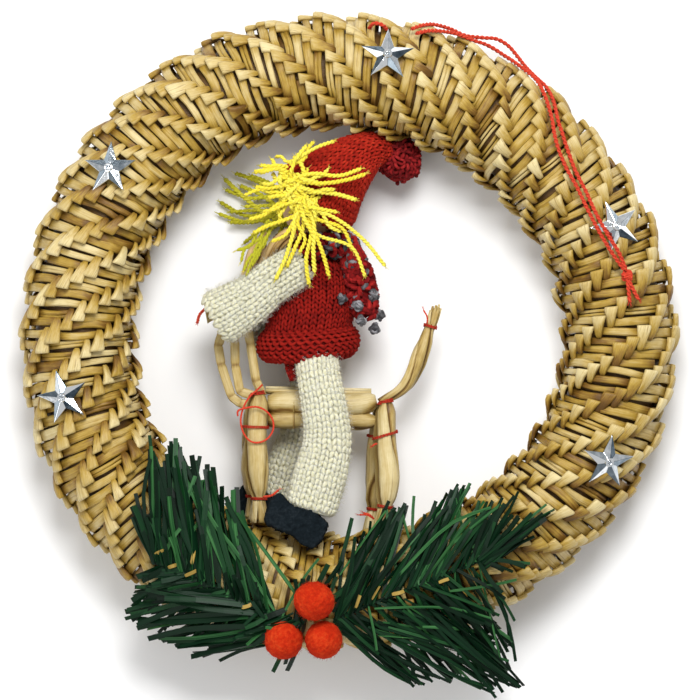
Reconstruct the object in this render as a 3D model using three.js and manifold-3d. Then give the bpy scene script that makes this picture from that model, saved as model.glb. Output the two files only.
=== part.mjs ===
// A straw wreath ornament: a ring of spirally plaited straw with a straw goat standing in it, a knitted
// doll astride the goat, stars, felt berries, two pine sprigs and a red hanging thread.
// Millimetres. The ornament lies on its back: +X to its right, +Y to its top, +Z to its front.
import * as THREE from "three";
import { mergeVertices } from "three/addons/utils/BufferGeometryUtils.js";
import Module from "manifold-3d";

const wasm = await Module();
wasm.setup();

const { cos, sin, PI, abs, hypot } = Math;
const radians = THREE.MathUtils.degToRad;
const { lerp } = THREE.MathUtils;

// ---------------------------------------------------------------- driving dimensions

const GAP = 0.3; // left between pieces that touch

// The middle of the wreath's ring, from the origin under the middle of the whole ornament.
const WREATH_X = -1.1;
const WREATH_Y = 6.2;

const WREATH = {
  radius: 79.7, // of the ring's centreline
  oval: 1.5, // how far the centreline swells to an oval
  lobe: 1.2, // and to three soft lobes
  lobeTurn: radians(-23),
  ridge: 17.2, // tube's centreline to the crest of a plait ridge
  face: 15.2, // tube's centreline to the middle of a face between two ridges
  ridges: 6,
  turns: 19 / 3, // turns of each ridge in one lap of the ring
  sides: 12,
  stations: 76,
  flat: 0.5, // how far the ridges are pressed flat where the wreath lies
};
const MIDDLE_Z = WREATH.ridge - WREATH.flat; // height of the ring's mid-plane

const STAR = { tip: 8, waist: 3, edge: 0.7, height: 2.3, lean: radians(20) };
// Each star's place round the ring and the turn of its first point, in degrees from +X.
const STARS = { left_top: [145, 88], top: [81.4, 88], right: [21.6, 112], left: [192.7, 105], low: [334, 82] };

const STRAW = 1.45; // radius of a single straw
const TIE = 0.45; // radius of the goat's binding thread
const GOAT = { front: -23.4, rear: 8.8, back: -20.6 }; // ends of the body, and its upper straws
const LEG_NEAR = MIDDLE_Z + 4.3;
const LEG_FAR = MIDDLE_Z - 4.3;

const DOLL_X = -10.2; // middle of the doll's sweater
const HEM_Y = -3.4; // middle of its rolled hem
const NECK_Y = 26.3;
const HEAD = { at: [-9.7, 38.3, MIDDLE_Z], radius: 9.4 };
const BOOT = { thick: 8.4, bevel: 0.9, near: 26, far: 1.4 }; // near and far: the boots' undersides

const THREAD = { radius: 0.75, knot: 1.6 }; // the hanging thread
const REIN = 0.3; // radius of the goat's loose thread

// ---------------------------------------------------------------- materials

const finish = (color, roughness, metalness = 0) => ({ color, roughness, metalness });
const LOOK = {
  plait: finish(0xc9a45f, 0.55),
  straw: finish(0xd6b473, 0.5),
  redKnit: finish(0xa3120c, 0.95),
  whiteKnit: finish(0xe8e2cb, 0.95),
  hair: finish(0xf0dc3c, 0.9),
  scarf: finish(0x6d2226, 0.95),
  wood: finish(0xe2b98a, 0.6),
  boot: finish(0x1d2630, 0.85),
  star: finish(0xc4ccd0, 0.15, 1),
  felt: finish(0xe03a16, 0.95),
  pine: finish(0x1f5136, 0.4),
  thread: finish(0xc32a1c, 0.85),
};

// ---------------------------------------------------------------- solids and meshes

// A closed geometry as a manifold solid.
function solidOf(geometry) {
  const bare = geometry.clone();
  bare.deleteAttribute("normal");
  bare.deleteAttribute("uv");
  const merged = mergeVertices(bare, 1e-4);
  return new wasm.Manifold(
    new wasm.Mesh({
      numProp: 3,
      vertProperties: new Float32Array(merged.attributes.position.array),
      triVerts: new Uint32Array(merged.index.array),
    }),
  );
}

// The largest body of a solid, as a geometry: a cut may leave crumbs, which are dropped.
function geometryOf(solid) {
  const bodies = solid.decompose().sort((a, b) => b.volume() - a.volume());
  const mesh = bodies[0].getMesh();
  const points = new Float32Array(mesh.numVert * 3);
  for (let i = 0; i < mesh.numVert; i++) {
    points.set(mesh.vertProperties.subarray(i * mesh.numProp, i * mesh.numProp + 3), i * 3);
  }
  return new THREE.BufferGeometry()
    .setAttribute("position", new THREE.BufferAttribute(points, 3))
    .setIndex(new THREE.BufferAttribute(mesh.triVerts, 1));
}

const union = (solids) => solids.reduce((whole, next) => whole.add(next));

const ornament = new THREE.Group();
ornament.position.set(WREATH_X, WREATH_Y, 0);

// Adds one named piece, less the fattened neighbours that it keeps clear of.
function piece(name, look, solid, neighbours = []) {
  const clear = neighbours.reduce((left, neighbour) => left.subtract(neighbour(GAP)), solid);
  const mesh = new THREE.Mesh(geometryOf(clear), new THREE.MeshStandardMaterial(look));
  mesh.name = name;
  ornament.add(mesh);
}

// Moves every vertex of a geometry.
function reshape(geometry, move) {
  const at = geometry.attributes.position;
  const point = new THREE.Vector3();
  for (let i = 0; i < at.count; i++) {
    move(point.fromBufferAttribute(at, i), i);
    at.setXYZ(i, point.x, point.y, point.z);
  }
  return geometry;
}

const curveThrough = (path) =>
  new THREE.CatmullRomCurve3(path.map((p) => new THREE.Vector3(...p)), false, "centripetal");

// Puts a point of a section on a curve: x across it in the ornament's plane and z towards the front.
function ontoCurve(point, curve, share, x, z) {
  const inside = THREE.MathUtils.clamp(share, 0, 1);
  const tangent = curve.getTangentAt(inside);
  const across = new THREE.Vector3(tangent.y, -tangent.x, 0).normalize();
  const front = new THREE.Vector3().crossVectors(across, tangent);
  point.copy(curve.getPointAt(inside)).addScaledVector(tangent, (share - inside) * curve.getLength());
  point.addScaledVector(across, x).addScaledVector(front, z);
}

// A round or oval form along a path. profile holds [share of the path, half width] pairs from end to
// end, depth is the section's depth over its width, and grow fattens the form all over.
function form(path, profile, { depth = 1, sides = 8, grow = 0 } = {}) {
  const curve = curveThrough(path);
  const reach = grow / curve.getLength();
  const shares = profile.map(([share]) => share);
  shares[0] -= reach;
  shares[shares.length - 1] += reach;
  const outline = profile.map(([, half], i) => new THREE.Vector2(half + grow, shares[i]));
  outline.unshift(new THREE.Vector2(0, shares[0]));
  outline.push(new THREE.Vector2(0, shares.at(-1)));
  return solidOf(
    reshape(new THREE.LatheGeometry(outline, sides), (point) => {
      const { x, y: share, z } = point;
      const half = hypot(x, z);
      const flatten = half ? (depth * (half - grow) + grow) / half : 1;
      ontoCurve(point, curve, share, x, z * flatten);
    }),
  );
}

// A ball, with flatten as its depth over its width.
function ball([x, y, z], radius, { grow = 0, flatten = 1, around = 10, down = 7 } = {}) {
  const fat = radius + grow;
  const round = new THREE.SphereGeometry(fat, around, down).rotateX(PI / 2);
  return solidOf(round.scale(1, 1, (radius * flatten + grow) / fat).translate(x, y, z));
}

// ---------------------------------------------------------------- the plaited wreath

// The ring's centreline, as its radius at an angle.
const ringRadius = (angle) =>
  WREATH.radius + WREATH.oval * cos(2 * angle) + WREATH.lobe * cos(3 * angle - WREATH.lobeTurn);

// A point at an angle round the wreath, and reach away from the centreline in the direction around the
// tube, which is 0 outwards and a quarter turn to the front.
function onRing(angle, reach, around) {
  const radius = ringRadius(angle) + reach * cos(around);
  return new THREE.Vector3(radius * cos(angle), radius * sin(angle), MIDDLE_Z + reach * sin(around));
}

// A tube with ridges that wind round the ring, pressed flat where it lies.
function wreath(grow = 0) {
  const { sides, stations, ridge, face, ridges, turns } = WREATH;
  const torus = new THREE.TorusGeometry(1, 0.5, sides, stations);
  const { uv } = torus.attributes;
  const tube = reshape(torus, (point, i) => {
    const angle = uv.getX(i) * 2 * PI;
    const section = uv.getY(i) * 2 * PI;
    const reach = lerp(ridge, face, abs(sin((section * ridges) / 2))) + grow;
    point.copy(onRing(angle, reach, section - turns * angle));
  });
  const table = new THREE.BoxGeometry(300, 300, 10).translate(0, 0, -5);
  return grow ? solidOf(tube) : solidOf(tube).subtract(solidOf(table));
}
piece("wreath_ring", LOOK.plait, wreath());

// ---------------------------------------------------------------- stars

// A five-pointed star with a raised middle and a crest along each point.
function star(angle, turn) {
  const outline = [[0, 0], [1, 0], [1, STAR.edge], [0, STAR.height]].map((p) => new THREE.Vector2(...p));
  const shape = reshape(new THREE.LatheGeometry(outline, 10).rotateX(PI / 2), (point) => {
    const far = hypot(point.x, point.y);
    if (far < 0.5) return;
    const spoke = Math.round((Math.atan2(point.y, point.x) - PI / 2) / (PI / 5));
    const reach = spoke % 2 === 0 ? STAR.tip : STAR.waist;
    point.set((point.x * reach) / far, (point.y * reach) / far, point.z);
  });
  const along = new THREE.Vector3(-sin(angle), cos(angle), 0);
  shape.rotateZ(turn - PI / 2).applyQuaternion(new THREE.Quaternion().setFromAxisAngle(along, STAR.lean));
  const seat = onRing(angle, WREATH.ridge + GAP, PI / 2 - STAR.lean);
  return solidOf(shape.translate(seat.x, seat.y, seat.z));
}
for (const [place, [angle, turn]] of Object.entries(STARS)) {
  piece(`star_${place}`, LOOK.star, star(radians(angle), radians(turn)));
}

// ---------------------------------------------------------------- the straw goat

// Four straws in two rows, with a thin one along the back.
function goatBody(grow = 0) {
  const bundle = [[0, -2.7], [0, 2.7], [-4.4, -2.5], [-4.4, 2.5]].map(([y, z]) =>
    form([[GOAT.front, GOAT.back + y, MIDDLE_Z + z], [GOAT.rear, GOAT.back + y - 0.5, MIDDLE_Z + z]],
      [[0, 2.2], [0.08, 3], [0.92, 3], [1, 2.2]], { sides: 6, grow }));
  const spine = [[GOAT.front - 1, GOAT.back + 3.5, MIDDLE_Z], [GOAT.rear - 1, GOAT.back + 3, MIDDLE_Z]];
  return union([...bundle, form(spine, [[0, 0.9], [0.1, 1.4], [0.9, 1.4], [1, 0.9]], { sides: 6, grow })]);
}
piece("goat_body", LOOK.straw, goatBody());

// Three bent straws that rise from the chest, and the bound bundle of the head on them.
const HEAD_PATH = [[-27.5, 10, MIDDLE_Z], [-34, 7.5, MIDDLE_Z], [-42, 6, MIDDLE_Z]];
function goatNeck(grow = 0) {
  const z = MIDDLE_Z;
  const straws = [
    [[-25.2, -21.6, z], [-32, -20.6, z], [-34.4, -18.4, z], [-37.4, -9, z], [-38.2, -3.4, z], [-36, 4, z]],
    [[-25.2, -19.6, z], [-32.4, -17.2, z], [-33.2, -9.4, z], [-33.4, -2, z], [-33, 6, z]],
    [[-25.4, -19, z], [-27.2, -14, z], [-28.8, -3, z], [-30.4, 7, z]],
  ].map((path) => form(path, path.map((_, i) => [i / (path.length - 1), STRAW]), { sides: 6, grow }));
  const head = form(HEAD_PATH, [[0, 1.8], [0.2, 3.6], [0.5, 3.8], [0.78, 2.2], [0.86, 2.2], [1, 3]], { grow });
  return union([...straws, head]);
}
piece("goat_neck_and_head", LOOK.straw, goatNeck(), [goatBody]);

// A horn is a slim bundle that bows up and back from the head to a bound end.
const HORN_PROFILE = [[0, 1], [0.3, 1.6], [0.75, 2], [0.9, 1], [1, 1.1]];
const HORNS = {
  near: [[-30, 12.6, 20.6], [-26.5, 18, 20.8], [-22.6, 24.6, 25], [-19, 28.6, 29.6], [-13.4, 31.6, 30.6]],
  far: [[-31.5, 12.6, 15], [-29, 19, 14.5], [-26.8, 25, 14], [-23.8, 30.5, 13.5]],
};
const horn = (side) => (grow = 0) => form(HORNS[side], HORN_PROFILE, { sides: 6, grow });

// A leg is a bundle bound twice: it swells between the two bindings and splays below the second.
const LEG_PROFILE = [[0, 1.4], [0.08, 2.5], [0.27, 2.6], [0.42, 3.4], [0.62, 3.5], [0.83, 1.8], [1, 2.6]];
const LEG_BINDINGS = { upper: [0.27, 2.6], lower: [0.83, 1.8] }; // share of the leg, and its radius there
const LEGS = {
  front_near: [[-26.2, -17.6, LEG_NEAR], [-26.7, -29, LEG_NEAR], [-26.2, -41, LEG_NEAR], [-25.8, -56, LEG_NEAR]],
  front_far: [[-27.2, -18, LEG_FAR], [-27.4, -29, LEG_FAR], [-27.6, -41, LEG_FAR], [-27.4, -55.2, LEG_FAR]],
  hind_near: [[12.4, -20, LEG_NEAR], [12, -33.6, LEG_NEAR], [12.8, -44, LEG_NEAR], [11.2, -58.4, LEG_NEAR]],
  hind_far: [[11.6, -20.6, LEG_FAR], [10, -33, LEG_FAR], [9.6, -44, LEG_FAR], [8.2, -59.4, LEG_FAR]],
};
const goatLeg = (name) => (grow = 0) => form(LEGS[name], LEG_PROFILE, { grow });
for (const name of Object.keys(LEGS)) {
  piece(`goat_leg_${name}`, LOOK.straw, goatLeg(name)(), [wreath, goatBody, goatNeck]);
}

// The tail is a plait of straws that curves up to a bound brush.
const TAIL_PATH = [[10.2, -20.6, MIDDLE_Z], [17.4, -16.2, MIDDLE_Z], [20.8, -10.8, MIDDLE_Z],
  [23.4, -4.6, MIDDLE_Z], [25.6, 2.4, MIDDLE_Z], [26.6, 7.6, MIDDLE_Z]];
const TAIL_PROFILE = [[0, 1], [0.1, 1.2], [0.3, 1.9], [0.5, 2.2], [0.7, 1.9], [0.84, 1.2], [1, 1.9]];
piece("goat_tail", LOOK.straw, form(TAIL_PATH, TAIL_PROFILE), [goatBody]);

// ---------------------------------------------------------------- the knitted doll

// A lathe outline of [half width, height] points, from axis to axis, moved outwards by grow.
function fatten(outline, grow) {
  return outline.map(([half, y], i) => {
    const before = outline[Math.max(i - 1, 0)];
    const after = outline[Math.min(i + 1, outline.length - 1)];
    const along = new THREE.Vector2(after[0] - before[0], after[1] - before[1]).normalize();
    if (half === 0) return new THREE.Vector2(0, i ? y + grow : y - grow);
    return new THREE.Vector2(half + grow * along.y, y - grow * along.x);
  });
}

// The sweater hangs from a narrow neck to a thick rolled hem that is open below and dips at the front.
const SWEATER_DEPTH = 0.8;
const HEM_DIP = 0.2;
function sweater(grow = 0) {
  const outline = [
    [0, HEM_Y - 0.6], [9.6, HEM_Y - 0.6], [11.4, HEM_Y - 3.6], [13.4, HEM_Y - 3.8], [15.2, HEM_Y - 1.2],
    [15, HEM_Y + 2.6], [13.3, HEM_Y + 5.4], [13.6, 8], [13, 16], [10.8, 21.5], [5.6, 23.4], [5.4, 28], [0, 28],
  ];
  return solidOf(reshape(new THREE.LatheGeometry(fatten(outline, grow), 12), (point) => {
    const low = THREE.MathUtils.smoothstep(8 - point.y, 0, 8);
    const z = point.z * SWEATER_DEPTH;
    point.set(DOLL_X + point.x, point.y - HEM_DIP * low * z, MIDDLE_Z + z);
  }));
}
piece("doll_sweater", LOOK.redKnit, sweater());

const head = (grow = 0) => ball(HEAD.at, HEAD.radius, { grow, around: 12, down: 8 });
piece("doll_head", LOOK.wood, head(), [sweater]);

// The scarf is wound once round the neck, with a bushy end that hangs on the doll's left.
function scarf(grow = 0) {
  const loop = new THREE.TorusGeometry(9.4, 3.3 + grow, 6, 12).rotateX(PI / 2).translate(-9, NECK_Y, MIDDLE_Z);
  const end = form([[1.6, 24, 22.5], [4, 18.4, 23], [5.4, 11, 21.6], [6.6, 3.6, 20]],
    [[0, 2], [0.3, 3.4], [0.7, 4], [1, 2]], { sides: 7, grow });
  return solidOf(loop).add(end);
}
piece("doll_scarf", LOOK.scarf, scarf(), [sweater, head]);

// The cap is a tall cone that leans to the doll's left, and its end bends down to the pompom.
const CAP_PATH = [[-10.2, 38.8, 17], [-4.6, 45.4, 18.6], [1.4, 51, 18.6], [7.4, 54.9, 16.6], [12.4, 55.4, 13.4]];
const CAP_PROFILE = [[0, 12.2], [0.05, 13.3], [0.16, 13.2], [0.32, 11.4], [0.55, 8.8], [0.78, 6.2], [1, 3]];
const cap = (grow = 0) => form(CAP_PATH, CAP_PROFILE, { sides: 12, grow });
piece("doll_cap", LOOK.redKnit, cap(), [head, scarf, wreath]);
piece("doll_cap_pompom", LOOK.redKnit, ball([17.2, 52.6, 11.4], 6.3), [cap, wreath]);

piece("goat_horn_near", LOOK.straw, horn("near")(), [goatNeck, scarf, head, cap]);
piece("goat_horn_far", LOOK.straw, horn("far")(), [goatNeck, scarf, head, cap]);

// A tuft of yarn: a flat puff, and strands that spring from it, given as [direction, length] pairs.
function tuft([x, y, z], lift, strands) {
  const puff = ball([x, y, z], 4.2, { flatten: 0.4, around: 8, down: 4 });
  return union([puff, ...strands.map(([direction, length]) => {
    const [east, north] = [cos(radians(direction)), sin(radians(direction))];
    const path = [[2, 0], [length * 0.55, lift], [length, lift * 0.6]];
    return form(path.map(([far, rise]) => [x + east * far, y + north * far, z + rise]),
      [[0, 0.8], [0.5, 0.9], [1, 0.7]], { sides: 4 });
  })]);
}
const HAIR_FRONT = [[34, 19], [63, 21], [85, 18], [125, 17], [165, 19], [205, 18], [251, 23], [283, 24], [299, 23],
  [325, 28]];
const HAIR_BACK = [[152, 24], [174, 25], [196, 24], [233, 26]];
piece("doll_hair_front", LOOK.hair, tuft([-13.4, 38.6, 32.6], 1.6, HAIR_FRONT), [cap, horn("near")]);
piece("doll_hair_back", LOOK.hair, tuft([-12, 37, 2], 1.2, HAIR_BACK), [cap, scarf, head]);

// The arms reach forward, one on each side of the goat's neck, and widen to the cuff.
const ARM_PROFILE = [[0, 4.4], [0.06, 5.6], [0.4, 5.6], [0.75, 7.2], [0.94, 8], [1, 6.6]];
const ARMS = {
  near: [[-12, 20, 27.6], [-20, 15.4, 28.4], [-28, 9.4, 28], [-37.6, 4, 27.4]],
  far: [[-12, 18, 6.2], [-19, 12.6, 5.6], [-25, 7, 5.8], [-31.6, 1, 6]],
};
for (const [side, path] of Object.entries(ARMS)) {
  piece(`doll_arm_${side}`, LOOK.whiteKnit, form(path, ARM_PROFILE, { depth: 0.56 }),
    [sweater, scarf, goatNeck, horn(side)]);
}

// A boot is a flat pad cut to a boot's outline, from its toe round the sole and heel to the ankle.
function boot(toeX, toeY, turn, underside, grow = 0) {
  const outline = new THREE.Shape();
  outline.bezierCurveTo(-4, -1.2, -5.2, -8, -4.1, -9.7);
  outline.lineTo(4, -13.2);
  outline.bezierCurveTo(6, -14.2, 7, -17.6, 10.2, -17.2);
  outline.quadraticCurveTo(12.6, -15.6, 14.9, -9.7);
  outline.quadraticCurveTo(11, -7.8, 9.4, -5.2);
  outline.quadraticCurveTo(3.4, -4.8, 0, 0);
  const pad = new THREE.ExtrudeGeometry(outline, {
    depth: BOOT.thick - 2 * BOOT.bevel + 2 * grow, bevelThickness: BOOT.bevel, bevelSize: grow, bevelSegments: 1,
    curveSegments: 3,
  });
  return solidOf(pad.rotateZ(turn).translate(toeX, toeY, underside + BOOT.bevel - grow));
}
const boots = {
  near: (grow = 0) => boot(-19.7, -47.4, 0, BOOT.near, grow),
  far: (grow = 0) => boot(-28.6, -44.2, radians(-4), BOOT.far, grow),
};
piece("doll_boot_near", LOOK.boot, boots.near(), [wreath]);
piece("doll_boot_far", LOOK.boot, boots.far(), [wreath]);

// The legs hang one on each side of the goat's body.
const SHIN_PROFILE = [[0, 5.8], [0.2, 5.9], [0.5, 6.4], [0.8, 7.6], [0.96, 7.4], [1, 6.6]];
const DOLL_LEGS = {
  near: [[-8.8, -3, 22], [-8.2, -11.4, 26.8], [-6.4, -21.8, 28.4], [-5.4, -32, 28.6], [-7.4, -42, 29.4], [-10.6, -53.4, 30.2]],
  far: [[-8.8, -3, 12], [-9.4, -11.6, 7], [-11.2, -26, 6], [-15, -38, 5.8], [-18.8, -50, 5.7]],
};
for (const [side, path] of Object.entries(DOLL_LEGS)) {
  piece(`doll_leg_${side}`, LOOK.whiteKnit, form(path, SHIN_PROFILE, { depth: 0.62 }),
    [sweater, boots[side], goatBody]);
}

// ---------------------------------------------------------------- berries and pine

const BERRIES = { top: [-9.3, -80, 40.6, 6], left: [-18.4, -91.8, 34.4, 5.8], right: [-6.5, -91.7, 35.8, 5.7] };
const berry = (place) => (grow = 0) => ball(BERRIES[place].slice(0, 3), BERRIES[place][3], { grow });
for (const place of Object.keys(BERRIES)) piece(`berry_${place}`, LOOK.felt, berry(place)(), [wreath]);

// One needle: a flat strip that arches from its root on the stem and narrows to its tip.
const NEEDLE = { width: 2.2, thickness: 0.8, arch: 1 };
function needle(root, tip) {
  const ends = [new THREE.Vector3(...root), new THREE.Vector3(...tip)];
  const crown = ends[0].clone().lerp(ends[1], 0.5).setZ(Math.max(ends[0].z, ends[1].z) + NEEDLE.arch);
  const curve = new THREE.QuadraticBezierCurve3(ends[0], crown, ends[1]);
  return solidOf(reshape(new THREE.BoxGeometry(1, 1, 1, 1, 2, 1), (point) => {
    const { x, y, z } = point;
    const share = y + 0.5;
    ontoCurve(point, curve, share, x * NEEDLE.width * (1 - 0.5 * share), z * NEEDLE.thickness);
  }));
}

// A sprig: a wire stem with needles fanned along it, alternately on its upper and its lower side. Each
// side gives its needles' lean from the stem at its root and tip, their lengths there and halfway, and
// how far their tips drop.
const SPRIG_NEEDLES = 18;
function sprig({ from, to, sides }) {
  const heading = Math.atan2(to[1] - from[1], to[0] - from[0]);
  const needles = Array.from({ length: SPRIG_NEEDLES }, (_, i) => {
    const share = i / (SPRIG_NEEDLES - 1);
    const { lean, length, drop } = sides[i % 2];
    const turn = heading + radians(lerp(lean[0], lean[1], share));
    const reach = share < 0.5 ? lerp(length[0], length[1], 2 * share) : lerp(length[1], length[2], 2 * share - 1);
    const jagged = reach * (1 + 0.12 * sin(i * 2.4));
    const root = from.map((start, axis) => lerp(start, to[axis], share));
    return needle(root, [root[0] + jagged * cos(turn), root[1] + jagged * sin(turn), root[2] + drop]);
  });
  return union([form([from, to], [[0, 0.9], [1, 0.7]], { sides: 5 }), ...needles]);
}
const STEM_Z = MIDDLE_Z + WREATH.ridge + GAP + 1;
const SPRIGS = {
  left: { from: [-19, -84, STEM_Z + 1], to: [-54, -70, STEM_Z],
    sides: [{ lean: [-62, -38], length: [18, 40, 27], drop: -0.4 }, { lean: [58, 24], length: [24, 25, 13], drop: -6 }] },
  right: { from: [-1, -84, STEM_Z + 1], to: [38, -68.5, STEM_Z],
    sides: [{ lean: [50, 12], length: [33, 36, 28], drop: -0.4 }, { lean: [-66, -80], length: [27, 39, 24], drop: -9 }] },
};
for (const [side, plan] of Object.entries(SPRIGS)) {
  piece(`pine_sprig_${side}`, LOOK.pine, sprig(plan), [wreath, boots.near, ...Object.keys(BERRIES).map(berry)]);
}

// ---------------------------------------------------------------- red threads

// A winding of thread round a bundle of straw, at a share of its path.
function binding(path, share, radius) {
  const curve = curveThrough(path);
  const turn = new THREE.Quaternion().setFromUnitVectors(new THREE.Vector3(0, 0, 1), curve.getTangentAt(share));
  const { x, y, z } = curve.getPointAt(share);
  return solidOf(new THREE.TorusGeometry(radius + GAP + TIE, TIE, 3, 8).applyQuaternion(turn).translate(x, y, z));
}
for (const [name, path] of Object.entries(LEGS)) {
  for (const [height, [share, radius]] of Object.entries(LEG_BINDINGS)) {
    piece(`tie_${name}_${height}`, LOOK.thread, binding(path, share, radius), [goatBody, boots.far]);
  }
}
piece("tie_tail", LOOK.thread, binding(TAIL_PATH, 0.84, 1.2));
piece("tie_muzzle", LOOK.thread, binding(HEAD_PATH, 0.82, 2.2));
piece("tie_horn", LOOK.thread, binding(HORNS.near, 0.9, 1));

// A thread laid along a list of points.
function thread(route, radius, step) {
  const curve = curveThrough(route);
  const section = new THREE.Shape(
    Array.from({ length: 8 }, (_, i) => new THREE.Vector2(radius * cos((i * PI) / 4), radius * sin((i * PI) / 4))),
  );
  const steps = Math.round(curve.getLength() / step);
  return solidOf(new THREE.ExtrudeGeometry(section, { steps, extrudePath: curve }));
}

// The hanging thread is doubled: its two strands leave the plait at the top, bow out past the ring's
// edge, climb over the ring and meet in a knot.
const STRAND_A = [
  [19.8, 91.4, 27], [23.5, 92.7, 23.8], [26.8, 92.9, 20.6], [31.5, 91.7, 17], [36.2, 89.7, 14.6], [41.6, 89.1, 12.9],
  [45.6, 88.7, 12.2], [49, 86.7, 12.6], [52.3, 82.7, 14.8], [55, 79.3, 17.8], [58.3, 76, 21.6], [60.3, 74, 23.6],
  [62.3, 70, 27], [63.7, 64, 31], [65, 59.9, 32.6], [66.7, 54.6, 33.9], [69, 48.5, 34.7], [71.7, 43.2, 35.5],
  [75.1, 35.8, 36.9], [78.4, 29.8, 37.1], [81.8, 24.4, 36], [84.8, 19.4, 34.9],
];
const STRAND_B = [
  [21.2, 90, 28.5], [24.8, 90.9, 25.5], [29.5, 90.8, 22], [33.5, 90.1, 18.7], [38.9, 88.1, 16.7], [42.9, 86.7, 15.9],
  [48.2, 83.4, 16.6], [53, 80, 20.1], [56.9, 76.7, 22.7], [59.4, 72.4, 27.3], [60.8, 68.4, 29.7], [61.8, 64.8, 31.4],
  [62.6, 59.9, 33.8], [63.6, 56, 34.5], [66, 49.9, 35], [69, 44.5, 35.6], [72.2, 37.8, 36.8], [75.8, 30.8, 37.2],
  [79.8, 24.2, 36.1], [83.2, 19.4, 35],
];
const KNOT = [84.4, 17.2, 34.8];
const BIGHT = [[8.4, 92.6, 27.2], [9.9, 92.7, 28.2], [11.4, 92.2, 28.2]];
const knot = (grow = 0) => ball(KNOT, THREAD.knot, { grow, around: 8, down: 6 });
const tails = [[85.2, 9.8, 35], [87.6, 10.4, 34.4]].map((end) =>
  thread([KNOT, [KNOT[0] + (end[0] - KNOT[0]) * 0.4, 14, 35.2], end], THREAD.radius, 4));
piece("hanger_strand_a", LOOK.thread, thread(STRAND_A, THREAD.radius, 4.5), [knot]);
piece("hanger_strand_b", LOOK.thread, thread(STRAND_B, THREAD.radius, 4.5), [knot]);
piece("hanger_knot", LOOK.thread, union([knot(), ...tails]));
piece("hanger_bight", LOOK.thread, thread(BIGHT, THREAD.radius, 2));

// A loose end of binding thread curls in a loop in front of the goat's forelegs.
const REIN_ROUTE = [
  [-25, -15.4, 20.6], [-26.6, -17, 23.4], [-28.6, -18.8, 24.8], [-30.5, -22, 25], [-31.4, -25.9, 24.8], [-30.7, -29.5, 24.7],
  [-28.6, -32.2, 25], [-26.2, -32.7, 25.2], [-23.5, -31.6, 25.2], [-21.7, -28.9, 25], [-21.8, -25.9, 25],
  [-23.8, -23.2, 25.2], [-26.5, -22, 25.6], [-29.8, -22.3, 26], [-32.2, -23.2, 25.6], [-32.3, -24.7, 25.2],
];
piece("rein_thread", LOOK.thread, thread(REIN_ROUTE, REIN, 1.8));

export default ornament;
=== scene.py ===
"""A straw wreath ornament: plaited ring, straw goat, knitted doll, stars, felt berries and pine sprigs."""

import logging
from dataclasses import dataclass, field
from enum import Enum
from functools import lru_cache
from math import cos, hypot, pi, radians, sin
from typing import Any, Callable, ClassVar, Sequence

import bmesh
import bpy
import numpy as np
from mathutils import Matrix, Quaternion, Vector


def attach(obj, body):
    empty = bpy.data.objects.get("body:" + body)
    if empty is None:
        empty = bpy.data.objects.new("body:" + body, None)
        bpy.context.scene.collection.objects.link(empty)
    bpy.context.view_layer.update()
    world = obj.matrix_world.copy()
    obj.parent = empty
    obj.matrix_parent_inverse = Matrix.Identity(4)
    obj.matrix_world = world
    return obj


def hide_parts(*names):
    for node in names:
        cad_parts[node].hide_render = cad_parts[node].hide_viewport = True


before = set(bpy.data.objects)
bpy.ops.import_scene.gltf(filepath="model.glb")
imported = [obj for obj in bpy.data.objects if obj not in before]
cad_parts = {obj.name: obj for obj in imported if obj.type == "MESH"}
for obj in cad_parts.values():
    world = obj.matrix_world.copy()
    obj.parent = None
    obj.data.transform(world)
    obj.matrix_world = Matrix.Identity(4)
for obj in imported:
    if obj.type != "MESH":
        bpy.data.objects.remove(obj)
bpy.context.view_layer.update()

LOG = logging.getLogger("ornament")
MM = 0.001  # lengths below are in millimetres
WREATH_AT = np.array([-1.1, 6.2, 0.0])  # the ring's centre, from the origin
MIDDLE_Z = 16.7  # height of the ring's mid-plane
FIBRE = 0.05  # thickness of a fine fibre
FRAYED_TONE = 0.9

Array = np.ndarray
Material = bpy.types.Material
Piece = bpy.types.Object
Point = tuple[float, float, float]
Colour = tuple[float, float, float]
Profile = Sequence[tuple[float, float]]


# ---- shader sums


class Value:
    """A shader socket that takes part in sums."""

    def __init__(self, tree: Any, socket: Any) -> None:
        """Wraps one output socket of a node tree."""
        self.tree = tree
        self.socket = socket

    def sum_with(self, operation: str, first: Any, second: Any) -> "Value":
        """Adds a Math node.

        Args:
            operation: the node's operation.
            first: a Value or a number.
            second: a Value or a number.

        Returns:
            The node's result.
        """
        node = self.tree.nodes.new("ShaderNodeMath")
        node.operation = operation
        for socket, item in zip(node.inputs, (first, second)):
            if isinstance(item, Value):
                self.tree.links.new(item.socket, socket)
            else:
                socket.default_value = item
        return Value(self.tree, node.outputs[0])

    def __add__(self, other: Any) -> "Value":
        """self + other."""
        return self.sum_with("ADD", self, other)

    def __radd__(self, other: Any) -> "Value":
        """other + self."""
        return self.sum_with("ADD", other, self)

    def __sub__(self, other: Any) -> "Value":
        """self - other."""
        return self.sum_with("SUBTRACT", self, other)

    def __rsub__(self, other: Any) -> "Value":
        """other - self."""
        return self.sum_with("SUBTRACT", other, self)

    def __mul__(self, other: Any) -> "Value":
        """self * other."""
        return self.sum_with("MULTIPLY", self, other)

    def __rmul__(self, other: Any) -> "Value":
        """other * self."""
        return self.sum_with("MULTIPLY", other, self)


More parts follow.
